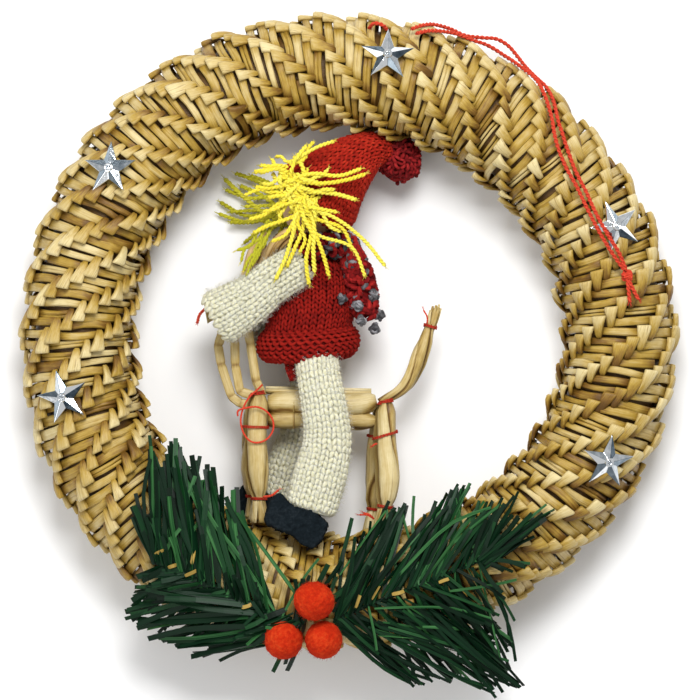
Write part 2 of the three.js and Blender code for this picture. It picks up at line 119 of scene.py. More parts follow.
class Dye:
    """One material's node tree, from its coordinates to its surface."""

    def __init__(self, name: str) -> None:
        """Starts an empty material with a surface shader.

        Args:
            name: the material's name.
        """
        self.material = bpy.data.materials.new(name)
        self.material.use_nodes = True
        self.tree = self.material.node_tree
        self.tree.nodes.clear()
        self.surface = self.tree.nodes.new("ShaderNodeBsdfPrincipled")
        output = self.tree.nodes.new("ShaderNodeOutputMaterial")
        self.tree.links.new(self.surface.outputs[0], output.inputs["Surface"])

    def node(self, kind: str, settings: dict[str, Any], output: str | int = 0, **sockets: Any) -> Value:
        """Adds any node.

        Args:
            kind: the node's type, without its ShaderNode prefix.
            settings: properties that are set first, with a ramp's stops under "stops".
            output: the output that is returned.
            **sockets: values or links by socket name, with underscores for spaces, or by _ and a number.

        Returns:
            The chosen output.
        """
        node = self.tree.nodes.new(f"ShaderNode{kind}")
        for name, setting in settings.items():
            if name == "stops":
                self.set_stops(node.color_ramp, setting)
            else:
                setattr(node, name, setting)
        for name, item in sockets.items():
            socket = node.inputs[int(name[1:])] if name[0] == "_" else node.inputs[name.replace("_", " ")]
            if isinstance(item, Value):
                self.tree.links.new(item.socket, socket)
            else:
                socket.default_value = item
        return Value(self.tree, node.outputs[output])

    @staticmethod
    def set_stops(ramp: Any, stops: Sequence[tuple[float, Colour]]) -> None:
        """Gives a colour ramp its stops.

        Args:
            ramp: the ramp of a ValToRGB node.
            stops: each a place from 0 to 1 and a colour.
        """
        while len(ramp.elements) < len(stops):
            ramp.elements.new(0.5)
        for element, (place, colour) in zip(ramp.elements, stops):
            element.position = place
            element.color = (*colour, 1.0)

    def ramp(self, share: Value, *stops: tuple[float, Colour]) -> Value:
        """A colour that runs through the stops as share goes from 0 to 1."""
        return self.node("ValToRGB", {"stops": stops}, Fac=share)

    def mix(self, share: Value, base: Value, over: Colour) -> Value:
        """Lays a colour over another by a share."""
        return self.node("Mix", {"data_type": "RGBA"}, 2, _0=share, _6=base, _7=(*over, 1.0))

    def attribute(self, name: str, output: str = "Fac") -> Value:
        """Reads an attribute of the mesh."""
        return self.node("Attribute", {"attribute_name": name}, output)

    def here(self) -> Value:
        """The place on the piece, in metres."""
        return self.node("TexCoord", {}, "Object")

    def stretch(self, place: Value, scale: Point) -> Value:
        """Scales a place along its axes."""
        return self.node("VectorMath", {"operation": "MULTIPLY"}, _0=place, _1=scale)

    def noise(self, place: Value, scale: float, detail: float = 3.0, roughness: float = 0.55) -> Value:
        """Cloudy noise from 0 to 1."""
        return self.node("TexNoise", {}, Vector=place, Scale=scale, Detail=detail, Roughness=roughness)

    def fibres(self, lengthwise: float, crosswise: float, detail: float, roughness: float = 0.55) -> Value:
        """Noise drawn out along a strand, by its straightened place."""
        place = self.stretch(self.attribute("grain", "Vector"), (lengthwise, crosswise, crosswise))
        return self.noise(place, 1.0, detail, roughness)

    def band(self, source: Value, low: float, high: float, most: float) -> Value:
        """A share that climbs from 0 to most as the source goes from low to high."""
        return self.node("MapRange", {}, Value=source, From_Min=low, From_Max=high, To_Min=0.0, To_Max=most)

    def bump(self, height: Value, distance: float, strength: float) -> Value:
        """A normal that follows a height."""
        return self.node("Bump", {}, Height=height, Distance=distance, Strength=strength)

    def coat(self, **sockets: Any) -> Material:
        """Sets the surface's sockets.

        Args:
            **sockets: values, links or colours by socket name, with underscores for spaces.

        Returns:
            The finished material.
        """
        for name, item in sockets.items():
            socket = self.surface.inputs[name.replace("_", " ")]
            if isinstance(item, Value):
                self.tree.links.new(item.socket, socket)
            else:
                socket.default_value = (*item, 1.0) if socket.type == "RGBA" else item
        return self.material


# ---- finishes


@dataclass(frozen=True)
class StrawFinish:
    """Dry straw: fibres and dark streaks along it, worn patches, and a tone of its own for each straw, which
    also carries the painted shade and light laid on the strands.
    """

    name: str
    dark: Colour = (0.17, 0.082, 0.009)
    mid: Colour = (0.39, 0.25, 0.037)
    pale: Colour = (0.64, 0.53, 0.27)
    roughness: float = 0.42
    shadow: Colour = (0.10, 0.045, 0.004)
    worn: Colour = (0.30, 0.16, 0.03)

    def material(self) -> Material:
        """Builds the material."""
        dye = Dye(self.name)
        tone = dye.attribute("tone")
        fibre = dye.fibres(120.0, 4200.0, 4.0, 0.6)
        cloud = dye.fibres(260.0, 500.0, 3.0)
        share = tone * 0.66 + fibre * 0.62 + cloud * 0.5 - 0.40
        stops = ((0.0, self.shadow), (0.16, self.dark), (0.44, self.mid), (0.92, self.pale))
        colour = dye.ramp(share, *stops)
        streak = dye.band(dye.fibres(50.0, 2600.0, 2.0), 0.60, 0.68, 0.55)
        colour = dye.mix(streak, colour, self.dark)
        colour = dye.mix(dye.band(cloud, 0.62, 0.8, 0.5), colour, self.worn)
        return dye.coat(
            Base_Color=colour, Roughness=fibre * 0.25 + (self.roughness - 0.1),
            Normal=dye.bump(fibre, 0.00022, 0.75), Specular_IOR_Level=0.36,
        )


@dataclass(frozen=True)
class YarnFinish:
    """Spun wool: fine hairs, a twist along the strand, and a tone for each stitch or strand."""

    name: str
    deep: Colour
    colour: Colour
    light: Colour
    twist: float = 1500.0
    sheen: float = 0.5
    soft: float = 0.0  # how much light goes through it
    painted_shade: Colour | None = None  # painted shade: the colour of tones below zero, for strands that lie in shade, where it isn't the deep one

    def material(self) -> Material:
        """Builds the material."""
        dye = Dye(self.name)
        grain = dye.attribute("grain", "Vector")
        tone = dye.attribute("tone")
        slant = dye.node("VectorMath", {"operation": "DOT_PRODUCT"}, "Value", _0=grain, _1=(1.0, 1.3, 0.6))
        twist = dye.node("Math", {"operation": "SINE"}, _0=slant * (self.twist * 2.0))
        hairs = dye.fibres(2600.0, 5200.0, 4.0, 0.7)
        share = tone * 0.5 + hairs * 0.5 + twist * 0.08
        stops = ((0.04, self.painted_shade or self.deep), (0.18, self.deep), (0.5, self.colour), (0.85, self.light))
        normal = dye.bump(hairs + twist * 0.35, 0.00022, 0.7)
        return dye.coat(
            Base_Color=dye.ramp(share, *stops), Roughness=0.92, Normal=normal, Specular_IOR_Level=0.2,
            Sheen_Weight=self.sheen, Sheen_Roughness=0.45, Sheen_Tint=self.light,
            Subsurface_Weight=self.soft, Subsurface_Radius=(1.0, 0.9, 0.6), Subsurface_Scale=0.0012,
        )


@dataclass(frozen=True)
class FeltFinish:
    """Pressed wool: a matted surface with pits."""

    name: str
    deep: Colour
    colour: Colour
    light: Colour
    scale: float = 900.0
    pits: float = 0.0004
    sheen: float = 0.5

    def material(self) -> Material:
        """Builds the material."""
        dye = Dye(self.name)
        place = dye.here()
        mat = dye.noise(place, self.scale, 6.0, 0.7)
        cloud = dye.noise(place, self.scale * 0.16, 2.0)
        stops = ((0.3, self.deep), (0.55, self.colour), (0.78, self.light))
        return dye.coat(
            Base_Color=dye.ramp(mat * 0.7 + cloud * 0.4, *stops), Roughness=0.95,
            Normal=dye.bump(mat, self.pits, 0.8), Specular_IOR_Level=0.08,
            Sheen_Weight=self.sheen, Sheen_Roughness=0.5, Sheen_Tint=self.light,
        )


@dataclass(frozen=True)
class NeedleFinish:
    """Cut green film: darker and lighter needles with faint lengthwise lines, and brown dry scraps."""

    name: str
    shadow: Colour = (0.0008, 0.005, 0.0018)
    dark: Colour = (0.0022, 0.018, 0.0065)
    green: Colour = (0.009, 0.056, 0.014)
    fresh: Colour = (0.06, 0.19, 0.06)
    light: Colour = (0.09, 0.24, 0.07)
    dry: Colour = (0.33, 0.22, 0.05)

    def material(self) -> Material:
        """Builds the material."""
        dye = Dye(self.name)
        line = dye.noise(dye.stretch(dye.attribute("grain", "Vector"), (60.0, 3500.0, 900.0)), 1.0, 2.0)
        share = dye.attribute("tone") * 0.48 + line * 0.3 - 0.05
        places = (0.06, 0.30, 0.48, 0.62, 0.7, 0.82)
        colours = (self.shadow, self.dark, self.green, self.fresh, self.light, self.dry)
        return dye.coat(
            Base_Color=dye.ramp(share, *zip(places, colours)), Roughness=line * 0.2 + 0.3,
            Normal=dye.bump(line, 0.0001, 0.4), Specular_IOR_Level=0.13,
        )


@dataclass(frozen=True)
class MirrorFinish:
    """Silvered plastic: mirror bright, with a slightly uneven surface and darker facets, which are painted
    reflections of a dark surround.
    """

    name: str
    dark: Colour = (0.05, 0.075, 0.10)
    grey: Colour = (0.30, 0.36, 0.41)
    bright: Colour = (0.93, 0.96, 0.98)

    def material(self) -> Material:
        """Builds the material."""
        dye = Dye(self.name)
        cloud = dye.noise(dye.here(), 620.0, 3.0)
        # painted reflection: low tones give dark and grey facets
        share = dye.attribute("tone") * 0.85 + cloud * 0.5 - 0.2
        return dye.coat(
            Base_Color=dye.ramp(share, (0.0, self.dark), (0.35, self.grey), (0.8, self.bright)),
            Metallic=1.0, Roughness=cloud * 0.12 + 0.06, Normal=dye.bump(cloud, 0.0003, 0.25),
        )


@dataclass(frozen=True)
class WoodFinish:
    """Sanded pale wood with fine rings."""

    name: str
    ring: Colour = (0.62, 0.36, 0.18)
    pale: Colour = (0.82, 0.56, 0.33)

    def material(self) -> Material:
        """Builds the material."""
        dye = Dye(self.name)
        grain = dye.noise(dye.stretch(dye.here(), (300.0, 90.0, 300.0)), 1.0, 4.0)
        colour = dye.ramp(grain, (0.3, self.ring), (0.7, self.pale))
        return dye.coat(Base_Color=colour, Roughness=0.5, Normal=dye.bump(grain, 0.0001, 0.5))


# ---- strands in code


def unit(vectors: Array) -> Array:
    """Vectors of length one."""
    return vectors / np.maximum(np.linalg.norm(vectors, axis=-1, keepdims=True), 1e-9)


def smooth_path(points: Sequence[Point] | Array, count: int) -> Array:
    """Evenly spaced points on a smooth curve through points.

    Args:
        points: the points that the curve passes.
        count: how many points to give back.

    Returns:
        An array of count points.
    """
    given = np.asarray(points, float)
    if len(given) == 2:
        return given[0] + (given[1] - given[0]) * np.linspace(0, 1, count)[:, None]
    ghost = np.vstack([2 * given[0] - given[1], given, 2 * given[-1] - given[-2]])
    gaps = np.sqrt(np.linalg.norm(np.diff(ghost, axis=0), axis=1)) + 1e-6
    knots = np.concatenate([[0.0], np.cumsum(gaps)])
    dense = []
    for i in range(1, len(ghost) - 2):
        a, b, c, d = ghost[i - 1 : i + 3]
        ta, tb, tc, td = knots[i - 1 : i + 3]
        t = np.linspace(tb, tc, 16, endpoint=i == len(ghost) - 3)[:, None]
        ab = a + (b - a) * (t - ta) / (tb - ta)
        bc = b + (c - b) * (t - tb) / (tc - tb)
        cd = c + (d - c) * (t - tc) / (td - tc)
        abc = ab + (bc - ab) * (t - ta) / (tc - ta)
        bcd = bc + (cd - bc) * (t - tb) / (td - tb)
        dense.append(abc + (bcd - abc) * (t - tb) / (tc - tb))
    line = np.vstack(dense)
    along = distances(line)
    even = np.linspace(0, along[-1], count)
    return np.stack([np.interp(even, along, line[:, axis]) for axis in range(3)], axis=1)


def distances(line: Array) -> Array:
    """How far along a line each of its points lies."""
    return np.concatenate([[0.0], np.cumsum(np.linalg.norm(np.diff(line, axis=0), axis=1))])


def path_length(points: Array) -> float:
    """The length of a line of points."""
    return float(np.linalg.norm(np.diff(points, axis=0), axis=1).sum())


def carried_frames(points: Array, up: Array | None = None) -> tuple[Array, Array]:
    """Side and up directions along a line, carried without twist where no up is given.

    Args:
        points: the line.
        up: one up direction for each point, or None.

    Returns:
        The side and the up direction at each point.
    """
    along = unit(np.gradient(points, axis=0))
    if up is None:
        up = np.zeros_like(points)
        last = np.array([0.0, 0.0, 1.0])
        if abs(along[0] @ last) > 0.9:
            last = np.array([0.0, 1.0, 0.0])
        for i, direction in enumerate(along):
            last = unit(last - direction * (last @ direction))
            up[i] = last
    side = unit(np.cross(along, up))
    return side, np.cross(side, along)


@lru_cache(maxsize=None)
def tube_faces(rows: int, sides: int) -> tuple[Array, Array]:
    """The faces of a tube: quads between its rows, and a fan round the middle point of each end.

    Args:
        rows: rows of points, each once round the tube.
        sides: points in a row.

    Returns:
        The quads, and the fans' triangles, with the two middle points numbered after the rows.
    """
    row, here = np.meshgrid(np.arange(rows - 1), np.arange(sides), indexing="ij")
    start, there = row * sides, (here + 1) % sides
    quads = np.stack([start + here, start + sides + here, start + sides + there, start + there], axis=-1)
    here = np.arange(sides)
    there, last = (here + 1) % sides, (rows - 1) * sides
    first_fan = np.stack([np.full(sides, rows * sides), here, there], axis=-1)
    last_fan = np.stack([np.full(sides, rows * sides + 1), last + there, last + here], axis=-1)
    return quads.reshape(-1, 4), np.vstack([first_fan, last_fan])


class Strands:
    """Collects many swept strands as one mesh, with a tone and a straightened place for each point."""

    def __init__(self, seed: int) -> None:
        """Starts an empty bunch.

        Args:
            seed: starts its random draws.
        """
        self.draw = np.random.default_rng(seed)
        self.points: list[Array] = []
        self.faces: list[Array] = []
        self.tones: list[Array] = []
        self.grains: list[Array] = []
        self.count = 0
        self.triangles: list[Array] = []

    def sweep(
        self, line: Array, width: Any, depth: Any, sides: int, tone: Any = None,
        up: Array | None = None, side: Array | None = None, boxy: float = 1.0, deep: float = 0.0,
    ) -> None:
        """Adds a closed strand with an oval section.

        Args:
            line: its centreline.
            width: its full width at each point, or one width.
            depth: its full depth at each point, or one depth.
            sides: sides of the section.
            tone: its tone from 0 to 1, or one for each point, or None for a random one.
            up: the direction of its depth at each point.
            side: the direction of its width at each point, where it isn't square to the line.
            boxy: 1 for an oval, and less for a flatter section with rounder corners.
            deep: painted shade: how much darker the tone is on the strand's underside, where shade falls.
        """
        n = len(line)
        tone = np.broadcast_to(np.asarray(self.draw.uniform(0, 1) if tone is None else tone, float), (n,))
        if side is None:
            side, up = carried_frames(line, up)
        angle = np.arange(sides) * 2 * pi / sides + pi / sides
        half_w = np.broadcast_to(np.asarray(width, float) / 2, (n,))[:, None]
        half_d = np.broadcast_to(np.asarray(depth, float) / 2, (n,))[:, None]
        x = half_w * (np.sign(np.cos(angle)) * abs(np.cos(angle)) ** boxy)[None]
        z = half_d * (np.sign(np.sin(angle)) * abs(np.sin(angle)) ** boxy)[None]
        ring = line[:, None] + side[:, None] * x[..., None] + up[:, None] * z[..., None]
        along = distances(line)
        offset = self.draw.uniform(0, 400, 3)
        grain = np.stack([np.broadcast_to(along[:, None], x.shape), x, z], axis=-1) + offset
        # painted shade: the strand's underside and its end caps are darker by deep
        shade = tone[:, None] - deep * np.clip(0.35 - np.sin(angle), 0, 1)
        quads, fans = tube_faces(n, sides)
        self.points.append(np.vstack([ring.reshape(-1, 3), line[0], line[-1]]))
        self.grains.append(np.vstack([grain.reshape(-1, 3), [offset, offset + [along[-1], 0, 0]]]))
        self.tones.append(np.concatenate([shade.reshape(-1), tone[[0, -1]] - deep * 0.5]))
        self.faces.append(quads + self.count)
        self.triangles.append(fans + self.count)
        self.count += n * sides + 2

    def surface(self, grid: Array, tone: Any, caps: bool = True, grain: Array | None = None) -> None:
        """Adds a closed skin.

        Args:
            grid: rows of points, each row once round, with the outside on the right of a row's way.
            tone: its tone, or one for each point.
            caps: whether the first and last rows are closed by a fan.
            grain: each point's straightened place, where it isn't the point itself.
        """
        points = [grid.reshape(-1, 3)]
        grains = [(grid if grain is None else grain).reshape(-1, 3)]
        tones = [np.broadcast_to(np.asarray(tone, float), grid.shape[:2]).reshape(-1)]
        quads, fans = tube_faces(*grid.shape[:2])
        if caps:
            self.triangles.append(fans + self.count)
            points.append(np.stack([grid[0].mean(0), grid[-1].mean(0)]))
            grains.append(points[-1])
            tones.append(np.array([tones[0][0], tones[0][-1]]))
        self.points.append(np.vstack(points))
        self.grains.append(np.vstack(grains))
        self.tones.append(np.concatenate(tones))
        self.faces.append(quads + self.count)
        self.count += len(self.points[-1])

    def fuzz(self, form: "Form", count: int, length: float, thickness: float) -> None:
        """Lets fine curly fibres stand off a form.

        Args:
            form: the form.
            count: how many fibres there are.
            length: a fibre's usual length.
            thickness: a fibre's thickness.
        """
        for _ in range(count):
            share, angle = self.draw.uniform(0.01, 0.99), self.draw.uniform(0, 2 * pi)
            root, out = form.at(share, angle, 0.1)
            drift = unit(self.draw.normal(0, 1, 3))
            rise, stray = self.draw.uniform(0.2, 0.8), self.draw.uniform(0.3, 0.9)
            tip = root + out * length * rise + drift * length * stray
            middle = (root + tip) / 2 + out * length * 0.25 + self.draw.normal(0, 0.15 * length, 3)
            self.sweep(np.stack([root, middle, tip]), thickness, thickness, 3, FRAYED_TONE)

    def fray(self, root: Array, tip: Array, thickness: float, tone: float) -> None:
        """Adds one straight fibre from a root to a tip."""
        self.sweep(np.stack([root, tip]), thickness, thickness, 3, tone)

    def build(
        self, name: str, material: Material,
        warp: Callable[[Array], Array] | None = None, flat: bool = False,
    ) -> Piece:
        """Makes the mesh and its object.

        Args:
            name: the piece's name.
            material: its finish.
            warp: moves all the points first, where it is given.
            flat: whether its faces keep their edges.

        Returns:
            The object.
        """
        points = np.vstack(self.points)
        if warp:
            points = warp(points)
        quads = np.vstack(self.faces)
        triangles = np.vstack(self.triangles) if self.triangles else np.zeros((0, 3), int)
        mesh = bpy.data.meshes.new(name)
        mesh.vertices.add(len(points))
        mesh.vertices.foreach_set("co", ((points + WREATH_AT) * MM).astype(np.float32).ravel())
        corners = np.concatenate([quads.ravel(), triangles.ravel()])
        starts = np.concatenate([np.arange(len(quads)) * 4, quads.size + np.arange(len(triangles)) * 3])
        mesh.loops.add(len(corners))
        mesh.loops.foreach_set("vertex_index", corners.astype(np.int32))
        mesh.polygons.add(len(starts))
        mesh.polygons.foreach_set("loop_start", starts.astype(np.int32))
        mesh.update(calc_edges=True)
        mesh.polygons.foreach_set("use_smooth", np.full(len(starts), not flat))
        tone = mesh.attributes.new("tone", "FLOAT", "POINT")
        tone.data.foreach_set("value", np.concatenate(self.tones).astype(np.float32))
        grain = mesh.attributes.new("grain", "FLOAT_VECTOR", "POINT")
        grain.data.foreach_set("vector", (np.vstack(self.grains) * MM).astype(np.float32).ravel())
        mesh.update()
        piece = bpy.data.objects.new(name, mesh)
        bpy.context.scene.collection.objects.link(piece)
        mesh.materials.append(material)
        return piece


@dataclass
class Form:
    """A round or oval form along a path, as the solids of the frame are.

    Args:
        path: points of its middle line.
        profile: pairs of a share of the path and the half width there.
        depth: depth over width.
        steps: how many points its middle line is spaced into.
    """

    path: Sequence[Point]
    profile: Profile
    depth: float = 1.0
    steps: int = 200

    def __post_init__(self) -> None:
        """Spaces the middle line evenly."""
        self.line = smooth_path(self.path, self.steps)
        self.length = path_length(self.line)
        self.along = unit(np.gradient(self.line, axis=0))

    def half(self, share: Array) -> Array:
        """Half width at shares of the path."""
        places, halves = zip(*self.profile)
        return np.interp(share, places, halves)

    def at(self, share: Any, angle: Any, lift: Any) -> tuple[Array, Array]:
        """Points on the form.

        Args:
            share: shares of the path, which may run past its ends.
            angle: angles round it, where a quarter turn is the front.
            lift: how far outside the form.

        Returns:
            The points and the outward directions there.
        """
        share, angle, lift = np.broadcast_arrays(*(np.asarray(v, float) for v in (share, angle, lift)))
        index = np.clip(share, 0, 1) * (len(self.line) - 1)
        base = np.floor(index).astype(int).clip(0, len(self.line) - 2)
        blend = (index - base)[..., None]
        middle = self.line[base] * (1 - blend) + self.line[base + 1] * blend
        tangent = unit(self.along[base] * (1 - blend) + self.along[base + 1] * blend)
        middle = middle + tangent * ((share - np.clip(share, 0, 1)) * self.length)[..., None]
        side = unit(np.stack([tangent[..., 1], -tangent[..., 0], np.zeros_like(share)], axis=-1))
        front = np.cross(side, tangent)
        half = self.half(share)
        x = (half * np.cos(angle))[..., None]
        z = (half * self.depth * np.sin(angle))[..., None]
        out = unit(side * (np.cos(angle) * self.depth)[..., None] + front * np.sin(angle)[..., None])
        return middle + side * x + front * z + out * lift[..., None], out

    def girth(self, share: float) -> float:
        """The length once round the form at a share of its path."""
        half = float(self.half(np.asarray(share)))
        return pi * half * (1 + self.depth)

    def turn(self, part: Any) -> Array:
        """The angles that lie at parts of the girth.

        Args:
            part: parts of the girth, measured both ways from the front.

        Returns:
            The angle at each.
        """
        fine = np.linspace(-pi, pi, 721)
        step = np.hypot(np.diff(np.cos(fine + pi / 2)), self.depth * np.diff(np.sin(fine + pi / 2)))
        arc = np.concatenate([[0.0], np.cumsum(step)])
        arc = arc / arc[-1] - 0.5
        return pi / 2 + np.interp((part + 0.5) % 1.0 - 0.5, arc, fine)

    def skin(self, strands: Strands, rows: int, around: int, sink: float, tone: float) -> None:
        """Adds the form's own closed skin.

        Args:
            strands: takes the skin.
            rows: rows of points along it.
            around: points in a row.
            sink: how far it lies below the form's surface.
            tone: its tone.
        """
        share = np.linspace(0, 1, rows)[:, None]
        angle = np.linspace(0, 2 * pi, around, endpoint=False)[None]
        grid, _ = self.at(share, angle, -sink)
        strands.surface(grid, tone)

    def knit(self, strands: Strands, gauge: "Gauge", first: float, last: float) -> None:
        """Covers the form with knitted stitches, each a V of two plump legs.

        Args:
            strands: takes the stitches.
            gauge: sizes of a stitch.
            first: share of the path where the knitting starts.
            last: share where it ends.
        """
        step = gauge.course / self.length
        heading = -1.0 if gauge.downwards else 1.0
        across = np.array([0.04, 0.16, 0.33, 0.40])
        along = np.array([-0.42, 0.05, 0.62, 1.10]) * heading
        lift = np.array([-0.55, 0.12, 0.30, -0.50]) * gauge.yarn * gauge.relief
        swell = np.array([0.55, 1.0, 1.0, 0.6]) * gauge.yarn
        for course in range(int(round((last - first) / step))):
            share = first + (course + 0.5) * step
            wales = max(6, 2 * round(self.girth(share) / gauge.wale / 2))
            lean = strands.draw.normal(0, 0.04, (wales, 2))
            for wale in range(wales):
                place = (wale + 0.5) / wales - 0.5
                shade = 0.5 + gauge.variety * strands.draw.uniform(-0.5, 0.5)
                drift = place + lean[wale, 0] / wales
                for side in (-1.0, 1.0):
                    puff = strands.draw.normal(1, 0.07)
                    angle = self.turn(drift + side * across * gauge.spread / wales)
                    line, out = self.at(share + (along + lean[wale, 1]) * step, angle, lift * puff)
                    width = swell * puff
                    strands.sweep(line, width, width * gauge.plump, gauge.sides, shade, up=out)


@dataclass(frozen=True)
class Gauge:
    """The size of knitted stitches: a wale's width, a course's height and the yarn's thickness."""

    wale: float
    course: float
    yarn: float
    spread: float  # width of a stitch's V over its wale
    sides: int
    downwards: bool  # whether the path runs against the knitting
    variety: float  # how much the stitches differ in tone
    relief: float = 1.0  # how far they stand off the form, for their yarn
    plump: float = 0.85  # depth of the yarn over its width


def ply(strands: Strands, line: Array, diameter: float, pitch: float, tone: float) -> None:
    """Adds a yarn of two plies twisted round one another.

    Args:
        strands: takes the plies.
        line: the yarn's middle line.
        diameter: its full thickness.
        pitch: length of one turn.
        tone: its tone.
    """
    side, up = carried_frames(line)
    thick, reach = diameter * 0.58, diameter * 0.24
    start = strands.draw.uniform(0, 2 * pi)
    for opposite in (0.0, pi):
        angle = (start + opposite + distances(line) * 2 * pi / pitch)[:, None]
        helix = line + (side * np.cos(angle) + up * np.sin(angle)) * reach
        strands.sweep(helix, thick, thick, 5, tone)


def smoothstep(values: Array) -> Array:
    """Goes from 0 to 1 with soft ends as values do."""
    inside = np.clip(values, 0, 1)
    return inside * inside * (3 - 2 * inside)


def turned(direction: float, length: float) -> Array:
    """A flat step of a length in a direction in degrees from +X."""
    return np.array([cos(radians(direction)), sin(radians(direction)), 0.0]) * length


def square_to(way: Array) -> Array:
    """The flat direction square to a way, on its left."""
    return unit(np.array([-way[1], way[0], 0.0]))


# ---- palette and slots


class Slot(Enum):
    """The record's material slots."""

    PLAIT = "plait"
    STRAW = "straw"
    RED_KNIT = "red_knit"
    WHITE_KNIT = "white_knit"
    HAIR = "yarn_hair"
    SCARF = "scarf"
    WOOD = "wood_bead"
    BOOT = "boot_felt"
    STAR = "star"
    FELT = "felt"
    PINE = "pine"
    THREAD = "thread"


def made(finish: Any) -> Any:
    """A field of the palette that holds a finish's material."""
    return field(default_factory=finish.material)


@dataclass
class Palette:
    """Every material of the ornament, made once."""

    plait: Material = made(StrawFinish("plaited_straw"))
    straw: Material = made(
        StrawFinish("pressed_straw", (0.17, 0.085, 0.015), (0.43, 0.305, 0.095), (0.69, 0.595, 0.345), 0.34)
    )
    horn: Material = made(
        StrawFinish("creased_straw", (0.24, 0.11, 0.02), (0.55, 0.35, 0.12), (0.78, 0.58, 0.30), 0.42)
    )
    red_knit: Material = made(
        YarnFinish("red_wool", (0.11, 0.003, 0.001), (0.34, 0.011, 0.004), (0.56, 0.045, 0.016))
    )
    sweater_knit: Material = made(YarnFinish(
        "deep_red_wool", (0.06, 0.001, 0.0004), (0.215, 0.004, 0.0012), (0.34, 0.014, 0.006), sheen=0.08
    ))
    dark_knit: Material = made(
        YarnFinish("dark_red_wool", (0.07, 0.001, 0.002), (0.20, 0.006, 0.007), (0.36, 0.02, 0.02))
    )
    white_knit: Material = made(YarnFinish(
        "cream_wool", (0.52, 0.49, 0.27), (0.66, 0.635, 0.47), (0.71, 0.69, 0.56), sheen=0.3, soft=0.6
    ))
    # the yellow yarn's olive stop is painted shade, for strands that lie in shade
    hair: Material = made(YarnFinish(
        "yellow_yarn", (0.60, 0.44, 0.016), (0.78, 0.64, 0.042), (0.84, 0.75, 0.11), soft=0.2,
        painted_shade=(0.42, 0.41, 0.02),
    ))
    # the back tuft's yarn is a darker, olive copy of the yellow yarn: painted shade for the tuft that lies
    # behind the head
    back_hair: Material = made(
        YarnFinish("shaded_yellow_yarn", (0.26, 0.24, 0.012), (0.50, 0.47, 0.022), (0.70, 0.66, 0.06))
    )
    scarf: Material = made(
        YarnFinish("scarf_red", (0.07, 0.001, 0.002), (0.21, 0.005, 0.005), (0.40, 0.02, 0.016), sheen=0.15)
    )
    grey_yarn: Material = made(YarnFinish(
        "scarf_grey", (0.012, 0.012, 0.014), (0.085, 0.085, 0.09), (0.34, 0.33, 0.35), sheen=0.2
    ))
    thread: Material = made(
        YarnFinish("red_thread", (0.30, 0.015, 0.008), (0.56, 0.045, 0.02), (0.78, 0.12, 0.06), 3000.0, 0.3)
    )
    boot: Material = made(FeltFinish(
        "navy_felt", (0.002, 0.003, 0.004), (0.006, 0.010, 0.013), (0.02, 0.026, 0.031), 1500.0, 0.0005, 0.03
    ))
    felt: Material = made(
        FeltFinish("red_felt", (0.26, 0.007, 0.002), (0.46, 0.022, 0.004), (0.62, 0.07, 0.014), sheen=0.15)
    )
    pine: Material = made(NeedleFinish("pine_needles"))
    star: Material = made(MirrorFinish("silvered"))
    wood: Material = made(WoodFinish("wooden_bead"))


class Assembly:
    """A sub-assembly, which takes its finishes from the one palette."""

    palette: ClassVar[Palette]


def dressed(piece: Piece, slot: Slot, *nodes: str) -> Piece:
    """Fixes a finished piece to the frame.

    Args:
        piece: the piece, in its place.
        slot: the record's slot for its finish; not used.
        *nodes: the CAD nodes that it stands for.

    Returns:
        The piece.
    """
    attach(piece, "root")
    if nodes:
        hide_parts(*nodes)
    LOG.info("%s: %d faces", piece.name, len(piece.data.polygons))
    return piece


# ---- studio


@dataclass
class Studio:
    """A pale floor, soft light from the ornament's top end, and a camera straight above, in metres."""

    view_width: float = 0.2105
    distance: float = 4.0
    aim: Point = (0.0003, 0.0013, 0.017)
    sensor: float = 36.0
    sky: float = 0.55
    floor_side: float = 4.0

    def build(self) -> None:
        """Makes the camera, the lights and the floor."""
        self.hang_camera()
        self.hang_light("key", (0.08, 0.52, 0.88), 0.42, 10.8)
        self.hang_light("fill", (-0.55, -0.35, 0.7), 0.8, 2.6)
        world = bpy.data.worlds.new("studio")
        world.use_nodes = True
        background = world.node_tree.nodes["Background"].inputs
        background["Color"].default_value = (1.0, 1.0, 1.0, 1.0)
        background["Strength"].default_value = self.sky
        bpy.context.scene.world = world
        bpy.ops.object.select_all(action="DESELECT")
        bpy.ops.mesh.primitive_plane_add(size=self.floor_side)
        floor = bpy.context.object
        floor.name = "floor"
        dye = Dye("pale_floor")
        cloud = dye.noise(dye.here(), 3.0, 2.0)
        paper = dye.ramp(cloud, (0.2, (0.86, 0.86, 0.86)), (0.8, (0.90, 0.90, 0.90)))
        floor.data.materials.append(dye.coat(Base_Color=paper, Roughness=0.9))

    def hang_camera(self) -> None:
        """Adds the camera, looking straight down."""
        data = bpy.data.cameras.new("camera")
        data.sensor_width = self.sensor
        data.lens = self.sensor * self.distance / self.view_width
        camera = bpy.data.objects.new("camera", data)
        camera.location = (self.aim[0], self.aim[1], self.aim[2] + self.distance)
        scene = bpy.context.scene
        scene.collection.objects.link(camera)
        scene.camera = camera
        scene.view_settings.view_transform = "Standard"

    def hang_light(self, name: str, place: Point, size: float, power: float) -> None:
        """Adds a square soft light that faces the origin.

        Args:
            name: its name.
            place: where it hangs, in metres.
            size: its side, in metres.
            power: its power in watts.
        """
        data = bpy.data.lights.new(name, "AREA")
        data.size = size
        data.energy = power
        lamp = bpy.data.objects.new(name, data)
        lamp.location = place
        lamp.rotation_euler = (-Vector(place)).to_track_quat("-Z", "Y").to_euler()
        bpy.context.scene.collection.objects.link(lamp)


# ---- threads that lie free


